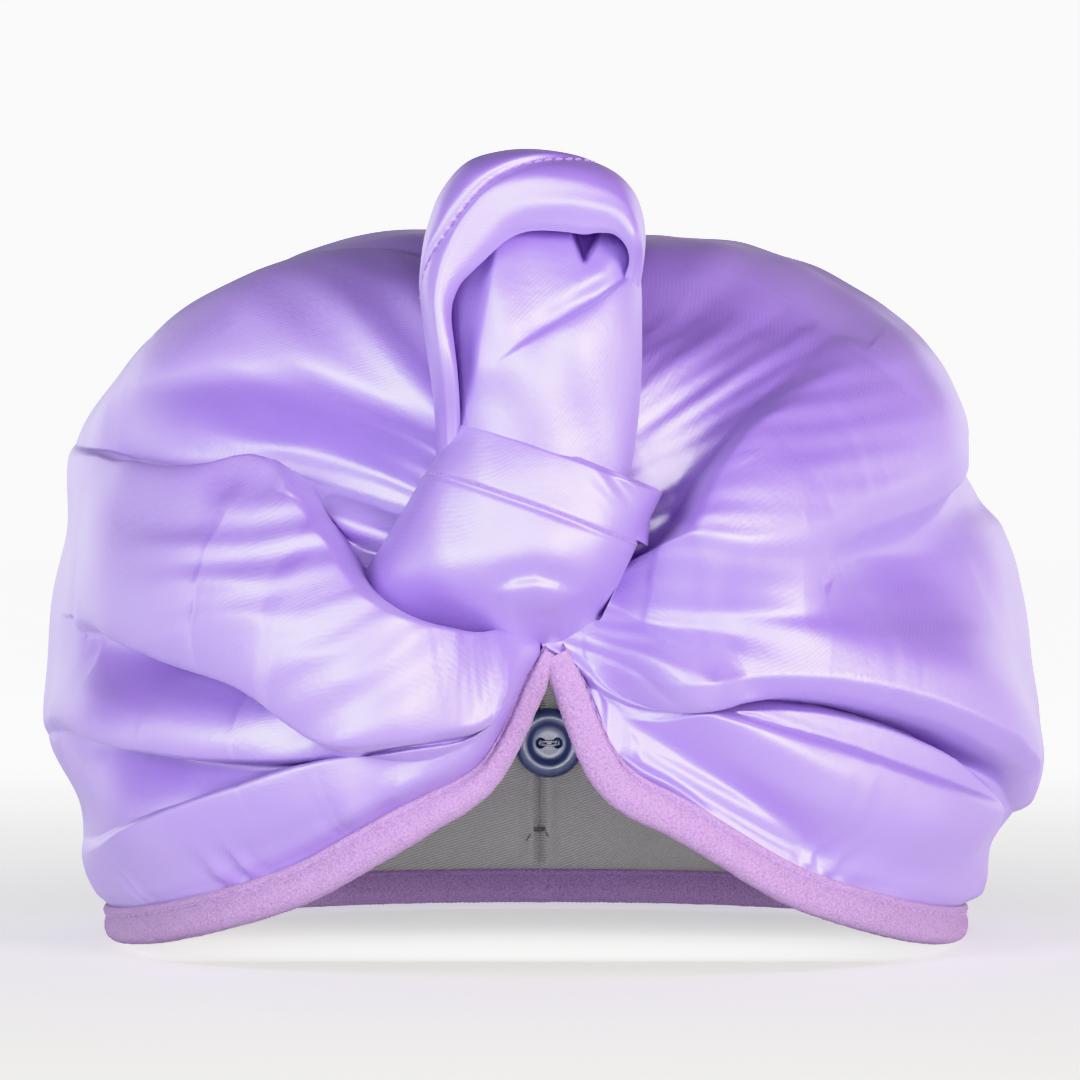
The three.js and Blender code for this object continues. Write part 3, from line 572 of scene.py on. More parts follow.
# Soft drapes that run round the back: w at the side, w at the seam, rise and reach in millimetres
back_drapes = [
    (0.1, 0.09, 1.6, 6),
    (0.22, 0.2, 2.4, 9),
    (0.36, 0.31, 2.0, 8),
    (0.5, 0.44, 2.6, 11),
    (0.66, 0.6, 2.2, 12),
    (0.82, 0.78, 1.8, 13),
]


# How much the rises and hollows in the tables are raised, how much their leans are, and how far the cloth
# stands off between folds at the front and round the back, in millimetres
fold_gain = 1.4
lean_gain = 1.5
front_loft = 9.0
back_loft = 3.4

# Past this many millimetres from a fold's line its smoother line rules, and past its ends it dies away
# over this many beyond its reach
eased_from = 14
end_fade = 12

# A fold that reaches less than this many millimetres has a sharp foot, this many reaches from its line
crisp_reach = 4.0
crisp_foot = 1.9


def binding_reach(u):
    return binding_cover * mix(0.5, 1, smooth(u, 0.01, 0.12))


def slow_waves(a, b, count, longest, shortest, seed):
    """A sum of soft waves over two lengths in millimetres, about -1 to 1."""
    chance = np.random.default_rng(seed)
    total = np.zeros_like(a)
    for _ in range(count):
        length = np.exp(chance.uniform(np.log(shortest), np.log(longest)))
        heading = chance.uniform(0, 2 * np.pi)
        phase = chance.uniform(0, 2 * np.pi)
        total = total + np.sin(
            2 * np.pi / length * (a * np.cos(heading) + b * np.sin(heading)) + phase
        )
    return total / math.sqrt(count)


def blurred(values, ease):
    """A row of values with its bends smoothed over ease places each way."""
    kernel = bell(np.arange(-2 * ease, 2 * ease + 1), ease)
    padded = np.pad(values, 2 * ease, mode="reflect", reflect_type="odd")
    return np.convolve(padded, kernel / kernel.sum(), mode="valid")


def fold_line(side, fold, ease, count=90):
    """Points along a fold's line on the smooth hood, with the direction along it, the direction across it
    towards the crown, and its u. ease is how many stations its bends are smoothed over."""
    at_u, at_w, _ = columns(fold["at"])
    u = mix(at_u[0], at_u[-1], np.linspace(0, 1, count) ** 1.4)
    w = blurred(table_curve(at_u, at_w)(u), ease)
    places = hood_base(side, u, w)
    _, across, normal, _, _ = surface_frame(side, u, w)
    speed = np.gradient(places, u, axis=0)
    tangent = unit(speed)
    towards_crown = np.cross(normal, tangent)
    towards_crown *= np.sign(np.sum(towards_crown * across, -1, keepdims=True))
    return places, tangent, unit(towards_crown), u


def fold_at(side, fold, base, ease):
    """For each point of the smooth hood: how far it lies from the fold's line, above zero towards the
    crown, its station along the line, how far it is past an end, and the way towards the crown."""
    places, tangent, crownward, u = fold_line(side, fold, ease)
    flat = base.reshape(-1, 3)
    near = np.empty(len(flat), int)
    for start in range(0, len(flat), 20000):
        part = flat[start : start + 20000]
        far = np.sum(places**2, -1)[None] - 2 * part @ places.T
        near[start : start + 20000] = np.argmin(far, axis=1)
    best = np.full(len(flat), np.inf)
    off = np.zeros(len(flat))
    station = np.zeros(len(flat))
    crown_way = np.zeros_like(flat)
    for first in (np.maximum(near - 1, 0), np.minimum(near, len(u) - 2)):
        segment = places[first + 1] - places[first]
        from_first = flat - places[first]
        share = clip01(np.sum(from_first * segment, -1) / np.sum(segment**2, -1))[:, None]
        way = mix(crownward[first], crownward[first + 1], share)
        rest = from_first - share * segment
        far = np.linalg.norm(rest, axis=-1)
        closer = far < best
        best = np.where(closer, far, best)
        off = np.where(closer, far * np.sign(np.sum(rest * way, -1)), off)
        station = np.where(closer, mix(u[first], u[first + 1], share[:, 0]), station)
        crown_way = np.where(closer[:, None], way, crown_way)
    before = np.sum((places[0] - flat) * tangent[0], -1) * (near == 0)
    after = np.sum((flat - places[-1]) * tangent[-1], -1) * (near == len(u) - 1)
    past = np.maximum(np.maximum(before, after), 0)
    shape = base.shape[:2]
    return off.reshape(shape), station.reshape(shape), past.reshape(shape), crown_way.reshape(base.shape)


def fold_profile(off, under, over):
    """A fold across its line: soft where it reaches far, and round with a sharp foot where it is short."""
    reach = np.where(off < 0, under, over)
    crisp = clip01(1 - (off / (crisp_foot * reach)) ** 2)
    return np.where(reach < crisp_reach, crisp, bell(off, reach))


def met_normal(normal, u, w, gather_end):
    """The outward way, turned square to X where the two halves meet, so that they stay together."""
    middle = np.maximum(smooth(w, 0.9, 1.0), np.maximum(smooth(u, 0.95, 1), 1 - smooth(u, 0, gather_end)))
    normal = normal.copy()
    normal[..., 0] *= 1 - middle
    return unit(normal)


def hood_surface(side, u, w):
    """The satin's outside over arrays of u and w."""
    base = hood_base(side, u, w)
    _, _, normal, per_w, per_u = surface_frame(side, u, w)
    rise = np.zeros_like(u)
    lean = np.zeros_like(base)
    round_side = smooth(u, 0.24, 0.46)
    for fold in folds[side]:
        off, station, past, crownward = fold_at(side, fold, base, 1)
        eased, eased_station, _, _ = fold_at(side, fold, base, 9)
        away = smooth(np.abs(off), 0, eased_from)
        off = mix(off, eased, away)
        station = mix(station, eased_station, away)
        at_u, _, at_rise = columns(fold["at"])
        fade = end_fade + max(fold["under"], fold["over"])
        even = np.linspace(at_u[0], at_u[-1], 160)
        heights = blurred(table_curve(at_u, at_rise)(even), 8)
        strength = np.interp(station, even, heights) * (1 - smooth(past, 0, fade))
        strength = strength * (1 - 0.75 * round_side) * fold_gain
        rise = rise + strength * fold_profile(off, fold["under"], fold["over"])
        if fold["lean"]:
            turn = lean_gain * fold["lean"] * clip01(strength / 10)
            turn = turn * bell(off, max(3.0, 0.6 * min(fold["under"], fold["over"])))
            lean = lean + crownward * turn[..., None]
    girth = table_curve(*columns(side_rise[side]))(w)
    rise = rise + girth * round_side * (1 - smooth(u, 0.54, 0.8))
    behind = smooth(u, 0.54, 0.8)
    drape = back_loft + 0 * u
    for at_side, at_seam, height, reach in back_drapes:
        wander = 0.014 * np.sin(7 * u + 9 * at_side + side)
        line = mix(at_side, at_seam, smooth(u, 0.5, 1)) + wander
        drape = drape + height * bell((w - line) * per_w, reach) * (1 - 0.35 * smooth(u, 0.9, 1))
    rise = rise + drape * behind
    loft = front_loft * smooth(u, 0.01, 0.1) * (1 - round_side) * smooth(w * per_w, 6, 34)
    rise = rise + loft
    rise = 0.5 * (rise + np.sqrt(rise**2 + 1.5))
    along_mm = u * cloth_around
    across_mm = w * cloth_across
    rise = rise + 0.35 * slow_waves(along_mm * 0.45, across_mm, 9, 40, 12, 11 + side)
    drawn = 0.5 * (1 - smooth(u, 0.1, 0.34)) * smooth(u, 0.01, 0.05)
    rise = rise + drawn * slow_waves(along_mm * 0.1, across_mm, 9, 15, 5, 91 + side)
    from_hem = w * per_w - binding_reach(u)
    rise = rise * smooth(from_hem, -1.0, 4.5)
    patch = smooth(slow_waves(along_mm, 0 * along_mm, 5, 90, 35, 71 + side), 0.1, 1.0)
    pucker = bell(from_hem - 3.5, 4.5) * np.sin(along_mm * 0.62 + 2.6 * np.sin(along_mm * 0.09))
    rise = rise + 1.1 * pucker * patch * smooth(from_hem, -0.5, 2)
    at_crown = smooth(w, 0.93, 1.0)
    at_seam = smooth(u, 0.93, 1.0)
    at_gather = 1 - smooth(u, 0, 0.016)
    rise = mix(rise, 3.0, at_crown)
    rise = mix(rise, 1.2, at_gather)
    rise = mix(rise, 2.6, at_seam * smooth(from_hem, 0, 12))
    seam_gap = np.minimum((1 - u) * per_u, (1 - w) * per_w)
    rise = rise - 0.9 * bell(seam_gap, 1.1) * smooth(from_hem, 0, 12)
    held = (1 - at_crown) * (1 - at_seam) * smooth(from_hem, 0, 6) * (1 - round_side)
    held = held * (1 - at_gather)
    outward = met_normal(normal, u, w, 0.02)
    shifted = base + outward * (satin_stand_off + np.maximum(rise, -0.3))[..., None]
    shifted[..., 0] = mix(shifted[..., 0], 0.25 * side, 0.95 * at_gather)
    return shifted + lean * held[..., None]


def grain_of(points):
    """The place of each grid point on the flat cloth: along the rows and across them."""
    along = np.zeros(points.shape[:2])
    across = np.zeros(points.shape[:2])
    along[1:] = np.cumsum(np.linalg.norm(np.diff(points, axis=0), axis=-1), axis=0)
    across[:, 1:] = np.cumsum(np.linalg.norm(np.diff(points, axis=1), axis=-1), axis=1)
    middle = along.shape[1] // 2
    along = mix(along, along[:, middle : middle + 1], 0.7)
    return np.stack([along, across], -1)


def ring_mesh(name, points):
    """A mesh over a grid whose rows close on themselves."""
    return grid_mesh(name, points, grain_of(np.concatenate([points, points[:1]])), closed=True)


def stations(counts, marks):
    """Evenly spaced values between each pair of marks, with the given counts."""
    parts = [np.linspace(a, b, n, endpoint=False) for a, b, n in zip(marks, marks[1:], counts)]
    return np.concatenate([*parts, [marks[-1]]])


def crowded_grid(side, u, count):
    """A grid over u whose rows of w stand closer together near the lines of the sharp folds."""
    even = np.linspace(0.012, 1, 900)
    grid_u, grid_w = np.meshgrid(u, even, indexing="ij")
    crowd = mix(1.0, 0.55, smooth(grid_w, 0.6, 0.8)) * np.ones_like(grid_u)
    for fold in folds[side]:
        if min(fold["under"], fold["over"]) < crisp_reach:
            at_u, at_w, _ = columns(fold["at"])
            ends = smooth(grid_u, at_u[0] - 0.03, at_u[0]) * (1 - smooth(grid_u, at_u[-1], at_u[-1] + 0.1))
            crowd = crowd + 2.2 * ends * bell(grid_w - table_curve(at_u, at_w)(grid_u), 0.02)
    total = np.cumsum(crowd, axis=1)
    total = (total - total[:, :1]) / (total[:, -1:] - total[:, :1])
    share = np.linspace(0, 1, count)
    chosen = np.stack([np.interp(share, row, even) for row in total])
    return np.broadcast_to(u[:, None], chosen.shape).copy(), chosen


def make_satin(side, name):
    u = stations([int(n * fineness) for n in (44, 100, 145, 70)], [0, 0.05, 0.18, 0.5, 1.0])
    grid_u, grid_w = crowded_grid(side, u, int(235 * fineness))
    points = hood_surface(side, grid_u, grid_w)
    if side == LEFT:
        points = points[:, ::-1]
    obj = grid_mesh(name, points, grain_of(points))
    return obj


# The lining

def lining_surface(side, u, w, inset):
    base = hood_base(side, u, w)
    _, _, normal, per_w, per_u = surface_frame(side, u, w)
    from_hem = w * per_w
    ease = 0.4 + 1.2 * smooth(from_hem, binding_cover, binding_cover + 20)
    creases = 0.5 * slow_waves(u * cloth_around, w * 40, 8, 60, 16, 31 + side) * smooth(from_hem, 8, 30)
    seam_gap = (1 - u) * per_u
    welt = 1.4 * bell(seam_gap - 2.0, 1.3) - 1.2 * bell(seam_gap, 0.6)
    depth = inset + ease + np.maximum(creases, -0.9) + welt * smooth(from_hem, 5, 9)
    return base - met_normal(normal, u, w, 0.05) * depth[..., None]


def make_lining(material):
    u = stations([50, 90, 90], [0, 0.12, 0.8, 1.0])
    w = stations([70, 40], [0.008, 0.5, 1.0])
    halves = []
    for side, name in ((LEFT, "lining_left"), (RIGHT, "lining_right")):
        grid_u, grid_w = np.meshgrid(u, w, indexing="ij")
        points = lining_surface(side, grid_u, grid_w, 0.9)
        if side == RIGHT:
            points = points[:, ::-1]
        obj = grid_mesh(name, points, grain_of(points))
        halves.append(finish_piece(obj, material, "lining"))
    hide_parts("towel_lining")
    return halves


# The binding

def binding_line(side, u, d, stand):
    """A point of the binding: d millimetres below the hem, or above it where d is below zero, and
    stand millimetres outward."""
    here = hood_base(side, u, np.zeros_like(u))
    step = 0.004
    u0 = np.clip(u, step, 1 - step)
    zero = np.zeros_like(u)
    along = unit(hood_base(side, u0 + step, zero) - hood_base(side, u0 - step, zero))
    _, across, _, per_w, _ = surface_frame(side, u, zero)
    at_seam = smooth(u, 0.985, 1.0)[..., None]
    along = unit(mix(along, np.array([-side, 0.0, 0.0]), at_seam))
    across = unit(across * mix(1.0, np.array([0.0, 1.0, 1.0]), at_seam))
    down = -unit(across - along * np.sum(across * along, -1, keepdims=True))
    out = np.cross(along, down) * -side
    w = np.maximum(-d, 0) / per_w
    over = hood_base(side, u, w)
    _, _, normal, _, _ = surface_frame(side, u, w)
    normal = normal * mix(1.0, np.array([0.0, 1.0, 1.0]), at_seam)
    on_cloth = over + unit(normal) * stand[..., None]
    below = here + down * d[..., None] + out * stand[..., None]
    return mix(on_cloth, below, smooth(d, -0.8, 0.8)[..., None])


# Each row is a point round the binding's section: d, as a share of its reach above the hem where it is
# below zero, in millimetres below the hem otherwise, and stand in millimetres.
binding_section = [
    (-1.0, 1.25),
    (-1.03, 1.9),
    (-0.97, 2.5),
    (-0.86, 2.85),
    (-0.76, 2.62),
    (-0.7, 2.5),
    (-0.62, 2.75),
    (-0.45, 3.35),
    (-0.2, 3.75),
    (0.6, 3.6),
    (1.6, 2.9),
    (2.4, 1.7),
    (2.8, 0.1),
    (2.4, -1.5),
    (1.5, -2.7),
    (0.4, -3.3),
    (-0.2, -3.4),
    (-0.5, -3.1),
    (-0.66, -2.7),
    (-0.76, -2.85),
    (-0.85, -2.5),
    (-0.88, -1.9),
]


def arc_resample(points, count):
    """count points evenly spaced along a row of points."""
    length = travelled(points)
    at = np.linspace(0, length[-1], count)
    return np.stack([np.interp(at, length, points[:, k]) for k in range(points.shape[1])], -1)


def binding_stations(pitch):
    """u and side at even steps along the hem, from the left start round the nape to the right start."""
    rows = []
    for side in (LEFT, RIGHT):
        u = np.linspace(binding_start, 1, 900)
        length = travelled(hood_base(side, u, np.zeros_like(u)))
        count = int(length[-1] / pitch)
        rows.append(np.interp(np.linspace(0, length[-1], count), length, u))
    return rows


def make_binding(material):
    pitch = 0.6 / fineness
    section = []
    per_gap = 2
    for (d0, n0), (d1, n1) in zip(binding_section, binding_section[1:]):
        for k in range(per_gap):
            section.append((mix(d0, d1, k / per_gap), mix(n0, n1, k / per_gap)))
    section.append(binding_section[-1])
    shares, stands = columns(section)
    sides = binding_stations(pitch)
    rings = []
    for side, u in zip((LEFT, RIGHT), sides):
        grid_u, share = np.meshgrid(u, shares, indexing="ij")
        stand = np.broadcast_to(stands, grid_u.shape)
        reach = binding_reach(grid_u)
        turned = 1 + (1.3 if side == RIGHT else 0.2) * bell(grid_u - 0.03, 0.03)
        d = np.where(share < 0, share * reach, share * turned)
        line = binding_line(side, grid_u, d, stand)
        rings.append(line if side == LEFT else line[::-1][1:])
    points = np.concatenate(rings)
    travel = travelled(points[:, 20])[:, None]
    around = np.linspace(0, 30, points.shape[1])[None, :]
    ribs = 0.07 * np.sin(2 * np.pi * travel / 1.25 + 0.6 * np.sin(travel / 5.1) + 0.5 * np.sin(around))
    lumps = 0.05 * slow_waves(travel + 0 * around, around + 0 * travel, 12, 9, 2.4, 5)
    away = np.zeros_like(points)
    away[1:-1] = np.cross(points[2:] - points[:-2], np.gradient(points, axis=1)[1:-1])
    away[0] = away[1]
    away[-1] = away[-2]
    away = unit(away)
    tips = np.sin(np.pi * np.linspace(0, 1, points.shape[1]))[None, :] ** 0.5
    points = points + away * ((ribs + lumps) * tips)[..., None]
    grain = np.stack([travel + 0 * around, around + 0 * travel], -1)
    obj = grid_mesh("binding", points, grain)
    return finish_piece(obj, material, "plush", "edge_binding")


# A stitch along its length: the share of the way, and its size and lift as shares of the thread's radius
stitch_rings = [
    (0, 0.25, -0.6),
    (0.12, 0.8, -0.1),
    (0.5, 1, 0.35),
    (0.88, 0.8, -0.1),
    (1, 0.25, -0.6),
]


def capsule_points(start, end, radius, up, sides=6):
    """Rings of points for one stitch from start to end, plump in its middle."""
    along = unit(end - start)
    lift = unit(up - along * float(np.dot(up, along)))
    side = np.cross(along, lift)
    rings = []
    for share, size, rise in stitch_rings:
        centre = mix(start, end, share) + lift * radius * rise
        angles = turn_angles(sides)
        ring = centre + radius * size * (
            np.cos(angles)[:, None] * lift + np.sin(angles)[:, None] * side
        )
        rings.append(ring)
    return np.array(rings)


def stitch_mesh(name, stitches):
    """One mesh of many stitches. Each is its start, its end and the way it stands up."""
    vertices = []
    faces = []
    for start, end, up in stitches:
        rings = capsule_points(start, end, thread_radius, up)
        count, sides = rings.shape[:2]
        first = len(vertices)
        vertices.extend(rings.reshape(-1, 3))
        for r in range(count - 1):
            for s in range(sides):
                a = first + r * sides + s
                b = first + r * sides + (s + 1) % sides
                faces.append((a, b, b + sides, a + sides))
        faces.append(tuple(first + s for s in range(sides))[::-1])
        faces.append(tuple(first + (count - 1) * sides + s for s in range(sides)))
    mesh = bpy.data.meshes.new(name)
    mesh.from_pydata([tuple(v * MM) for v in vertices], [], faces)
    mesh.shade_smooth()
    return placed(name, mesh)


def make_binding_stitches(material):
    stitches = []
    for side, u in zip((LEFT, RIGHT), binding_stations(edge_stitch_pitch)):
        for face, share in ((2.62, -0.73), (-2.85, -0.71)):
            d = share * binding_reach(u)
            line = binding_line(side, u, d, np.full_like(u, face))
            inner = binding_line(side, u, d, np.full_like(u, face * 0.8))
            for a, b, c in zip(line, line[1:], inner):
                stitches.append((mix(a, b, 0.1), mix(a, b, 0.85), unit(a - c)))
    return finish_piece(stitch_mesh("binding_stitches", stitches), material, "plush")


# The knot

def loop_curve(points, count, closed=False):
    """count points on a smooth curve through a row of points."""
    points = np.asarray(points, float)
    if closed:
        wrapped = np.concatenate([points[-3:], points, points[:3]])
        first = 3
        last = 3 + len(points)
    else:
        wrapped = np.concatenate([[2 * points[0] - points[1]], points, [2 * points[-1] - points[-2]]])
        first = 1
        last = len(points)
    at = np.linspace(first, last, count, endpoint=not closed)
    i = np.clip(np.floor(at).astype(int), 1, len(wrapped) - 3)
    t = (at - i)[:, None]
    a, b, c, d = wrapped[i - 1], wrapped[i], wrapped[i + 1], wrapped[i + 2]
    return 0.5 * (
        2 * b + (c - a) * t + (2 * a - 5 * b + 4 * c - d) * t**2 + (3 * b - a - 3 * c + d) * t**3
    )


def line_distance(x, z, line):
    """How far points lie from a line of (x, z) stations, which side of it, and how far along it."""
    line = np.asarray(line, float)
    best = np.full(x.shape, 1e9)
    signed = np.zeros(x.shape)
    travel = np.zeros(x.shape)
    so_far = 0.0
    for a, b in zip(line, line[1:]):
        step = b - a
        length = np.hypot(*step)
        share = clip01(((x - a[0]) * step[0] + (z - a[1]) * step[1]) / length**2)
        dx = x - a[0] - share * step[0]
        dz = z - a[1] - share * step[1]
        far = np.hypot(dx, dz)
        cross = step[0] * dz - step[1] * dx
        closer = far < best
        best = np.where(closer, far, best)
        signed = np.where(closer, np.where(cross >= 0, far, -far), signed)
        travel = np.where(closer, so_far + share * length, travel)
        so_far += length
    return signed, travel / so_far


# The rolled tail. Rows from the foot up: z, left and right edge, front and back, in millimetres, the
# last two behind the knot's face.
roll_rows = [
    (90, -10.0, 12.0, 10.0, 36),
    (100, -16.0, 17.0, 7.0, 38),
    (110, -18.2, 19.5, 4.6, 40),
    (120, -19.2, 21.4, 3.2, 42),
    (130, -19.8, 22.4, 2.6, 44),
    (140, -20.2, 22.8, 3.2, 44),
    (150, -20.6, 22.8, 5.0, 44),
    (158, -20.0, 22.4, 7.6, 42),
    (164, -17.6, 21.0, 11.0, 38),
    (168, -11.0, 15.0, 16.0, 32),
    (169.5, -3.0, 6.0, 21.0, 26),
]
strip_edge = [(-15.9, 100), (-16.3, 124), (-17.6, 136), (-18.4, 150)]
left_ridge = [(-14.5, 126), (-13.0, 140.7), (-11.0, 152), (-9.2, 162), (-8.0, 169)]
over_edge = [
    (-14.0, 134), (-4.9, 140.7), (0.0, 143.6), (5.4, 146.6), (12.7, 151), (20.0, 156.8), (22.5, 161)]
pocket_left = [(5.6, 172), (7.0, 166), (8.2, 162), (9.8, 158)]
pocket_right = [(17.0, 172), (15.0, 167), (12.5, 162.5), (9.8, 158)]
puff_highlight = [(9.8, 154.3), (15.6, 156.8), (19.3, 164)]


def roll_relief(x, z):
    """How far the roll's front stands out of its plain form, in millimetres."""
    ridge, ridge_at = line_distance(x, z, left_ridge)
    edge, edge_at = line_distance(x, z, over_edge)
    strip, _ = line_distance(x, z, strip_edge)
    slot_left, _ = line_distance(x, z, pocket_left)
    slot_right, _ = line_distance(x, z, pocket_right)
    puff, puff_at = line_distance(x, z, puff_highlight)
    relief = 2.6 * np.where(ridge > 0, bell(ridge, 1.4), bell(ridge, 6.0)) * smooth(ridge_at, 0, 0.3)
    over = smooth(-edge, -0.5, 0.9) * mix(1.0, 0.25, smooth(-edge, 2, 26))
    shown = smooth(x, -14, 12)
    relief = relief + 3.6 * over * shown
    relief = relief - 1.5 * bell(edge - 1.4, 1.7) * shown * (edge_at > 0)
    relief = relief - 0.7 * smooth(strip, -0.25, 0.35) * (1 - smooth(z, 148, 152))
    relief = relief + 1.7 * bell(puff, 2.2) * np.sin(np.pi * clip01(puff_at * 0.8 + 0.15))
    inside = smooth(slot_left, -0.3, 1.2) * smooth(-slot_right, -0.3, 2.4) * smooth(z, 157.6, 160.5)
    relief = relief - 9.0 * inside
    relief = relief + 0.5 * slow_waves(x, z * 0.35, 7, 22, 8, 21)
    return relief


def make_roll(material):
    z, left, right, front, back = columns(roll_rows)
    heights = np.linspace(z[0], z[-1], int(230 * fineness))
    angle, height = np.meshgrid(turn_angles(int(300 * fineness)), heights, indexing="ij")
    low = table_curve(z, left)(height)
    high = table_curve(z, right)(height)
    near = table_curve(z, front)(height)
    far = table_curve(z, back)(height)
    cos = -np.cos(angle)
    sin = np.sin(angle)
    blunt = 0.82
    x = (low + high) / 2 + (high - low) / 2 * np.sign(cos) * np.abs(cos) ** blunt
    y = (near + far) / 2 - (far - near) / 2 * np.sign(sin) * np.abs(sin) ** blunt
    facing = smooth(sin, 0.05, 0.45)
    y = y - roll_relief(x, height) * facing
    points = np.stack([x, y + knot_face, height], -1)
    obj = ring_mesh("tail_roll_folds", points)
    return finish_piece(obj, material, "satin", "tail_roll")


# The loop over the roll. Rows along it: its outer edge x and z, its inner lip x and z, and where its
# stitched hem lies between them, 1 at the outer edge.
loop_rows = [
    (-23.0, 108.0, -15.0, 108.0, 1.3),
    (-23.2, 117.0, -16.4, 117.0, 1.3),
    (-23.4, 126.0, -17.4, 125.6, 1.3),
    (-24.2, 134.0, -18.1, 133.0, 1.2),
    (-25.6, 143.0, -18.7, 140.5, 1.1),
    (-26.4, 152.2, -19.0, 148.0, 0.98),
    (-25.8, 160.5, -17.4, 153.4, 0.84),
    (-24.7, 167.5, -15.0, 156.8, 0.74),
    (-22.0, 175.2, -11.9, 160.0, 0.68),
    (-16.5, 181.4, -7.3, 163.9, 0.68),
    (-8.8, 183.8, -3.1, 165.7, 0.76),
    (0.0, 184.4, 1.1, 166.1, 0.86),
    (8.8, 183.2, 5.5, 165.8, 0.95),
    (15.9, 180.2, 9.7, 165.2, 1.05),
    (20.5, 175.7, 13.2, 165.6, 1.15),
    (23.1, 170.0, 16.4, 165.0, 1.2),
    (24.0, 164.2, 18.8, 162.0, 1.3),
    (23.4, 158.6, 19.0, 158.0, 1.3),
    (21.6, 151.0, 16.0, 151.0, 1.3),
]

# The loop's section, from its hidden inside round the lip, the face and the outer edge to its hidden
# back: out is the share of the way from the lip to the outer edge, back is behind the knot's face.
loop_section = [
    (0.5, 26.0),
    (0.22, 15.0),
    (0.06, 8.0),
    (0.0, 4.6),
    (0.03, 2.2),
    (0.14, 0.2),
    (0.36, -1.4),
    (0.6, -0.8),
    (0.8, 2.2),
    (0.93, 7.0),
    (1.0, 14.0),
    (1.0, 21.0),
    (0.9, 29.0),
    (0.66, 35.0),
]


def make_loop(material):
    rows = loop_curve(loop_rows, int(220 * fineness))
    section = loop_curve(loop_section, int(150 * fineness))
    outer = rows[:, None, 0:2]
    inner = rows[:, None, 2:4]
    hem = rows[:, None, 4]
    out = section[None, :, 0]
    back = section[None, :, 1]
    place = mix(inner, outer, out[..., None])
    travel = np.linspace(0, 1, len(rows))[:, None]
    low_left = 1 - smooth(travel, 0.02, 0.24)
    low_right = smooth(travel, 0.84, 1.0)
    depth = back * (1 - 0.45 * low_left - 0.5 * low_right) + 15 * low_left + 13 * low_right
    face = bell(back - 0.2, 4.0)
    stitched = bell((out - hem) * 18, 0.8) * face
    outside = smooth((out - hem) * 18, 0.0, 1.0) * bell(back - 2, 9)
    wrinkles = 0.22 * np.sin(2 * np.pi * (out * 2.6 + 0.35 * np.sin(5 * travel))) * face
    wrinkles = wrinkles * smooth(out, 0.02, 0.15) * (1 - smooth(out, 0.6, 0.8))
    radial = unit(outer - inner)
    push = 0.5 * outside + 0.4 * slow_waves(travel * 150, out * 30, 6, 60, 18, 43)
    push = push - 0.35 * stitched
    y = knot_face + depth - 1.0 * outside + 1.0 * stitched + wrinkles
    x = place[..., 0] + radial[..., 0] * push
    z = place[..., 1] + radial[..., 1] * push
    points = np.stack([x, y, z], -1)[:, ::-1]
    obj = grid_mesh("tail_loop_folds", points, grain_of(points))
    stitches = hem_stitches(points, hem[:, 0], section[::-1, 0], section[::-1, 1])
    return finish_piece(obj, material, "satin", "tail_loop"), stitches


def hem_stitches(points, hem, out, back):
    """Stitches along the loop's hem, on the face in front of its outer edge."""
    front = back < 16
    found = []
    for row, at in zip(points, hem):
        if at > 1.0:
            continue
        nearest = np.argmin(np.where(front & (out > 0.4), np.abs(out - at), 9))
        found.append(row[nearest])
    return dashed(np.array(found) - np.array([0, 0.35, 0]), (-0.2, -1.0, 0.3))


def dashed(line, up):
    """Stitches of an even pitch along a row of points."""
    length = np.linalg.norm(np.diff(line, axis=0), axis=-1).sum()
    even = arc_resample(line, max(int(length / hem_stitch_pitch), 2))
    return [(mix(a, b, 0.08), mix(a, b, 0.82), unit(np.array(up))) for a, b in zip(even, even[1:])]


# The cuff. Rows from the picture's left to its right: the bottom x and z and the top x and z, and how
# far the front stands before the middle, as a share of the cuff's depth.
cuff_rows = [
    (-39.4, 90.0, -18.9, 124.0, 0.0),
    (-38.4, 85.5, -17.8, 124.4, 0.42),
    (-35.2, 80.5, -14.6, 123.8, 0.68),
    (-29.0, 76.0, -9.6, 122.4, 0.87),
    (-21.0, 72.6, -3.0, 120.2, 0.98),
    (-12.0, 71.4, 4.4, 117.7, 1.0),
    (-3.0, 71.6, 11.6, 115.0, 0.96),
    (4.8, 73.4, 18.0, 112.4, 0.84),
    (9.8, 77.0, 23.4, 110.4, 0.62),
    (12.8, 79.4, 26.4, 109.0, 0.36),
    (14.0, 80.6, 27.4, 108.4, 0.0),
]
cuff_middle = 24.0
cuff_depth = 24.0
cuff_hem = 13.0
cuff_dent = [(-12.4, 86.4), (-6.0, 89.6), (-1.0, 90.4), (4.5, 89.0), (10.6, 85.6)]


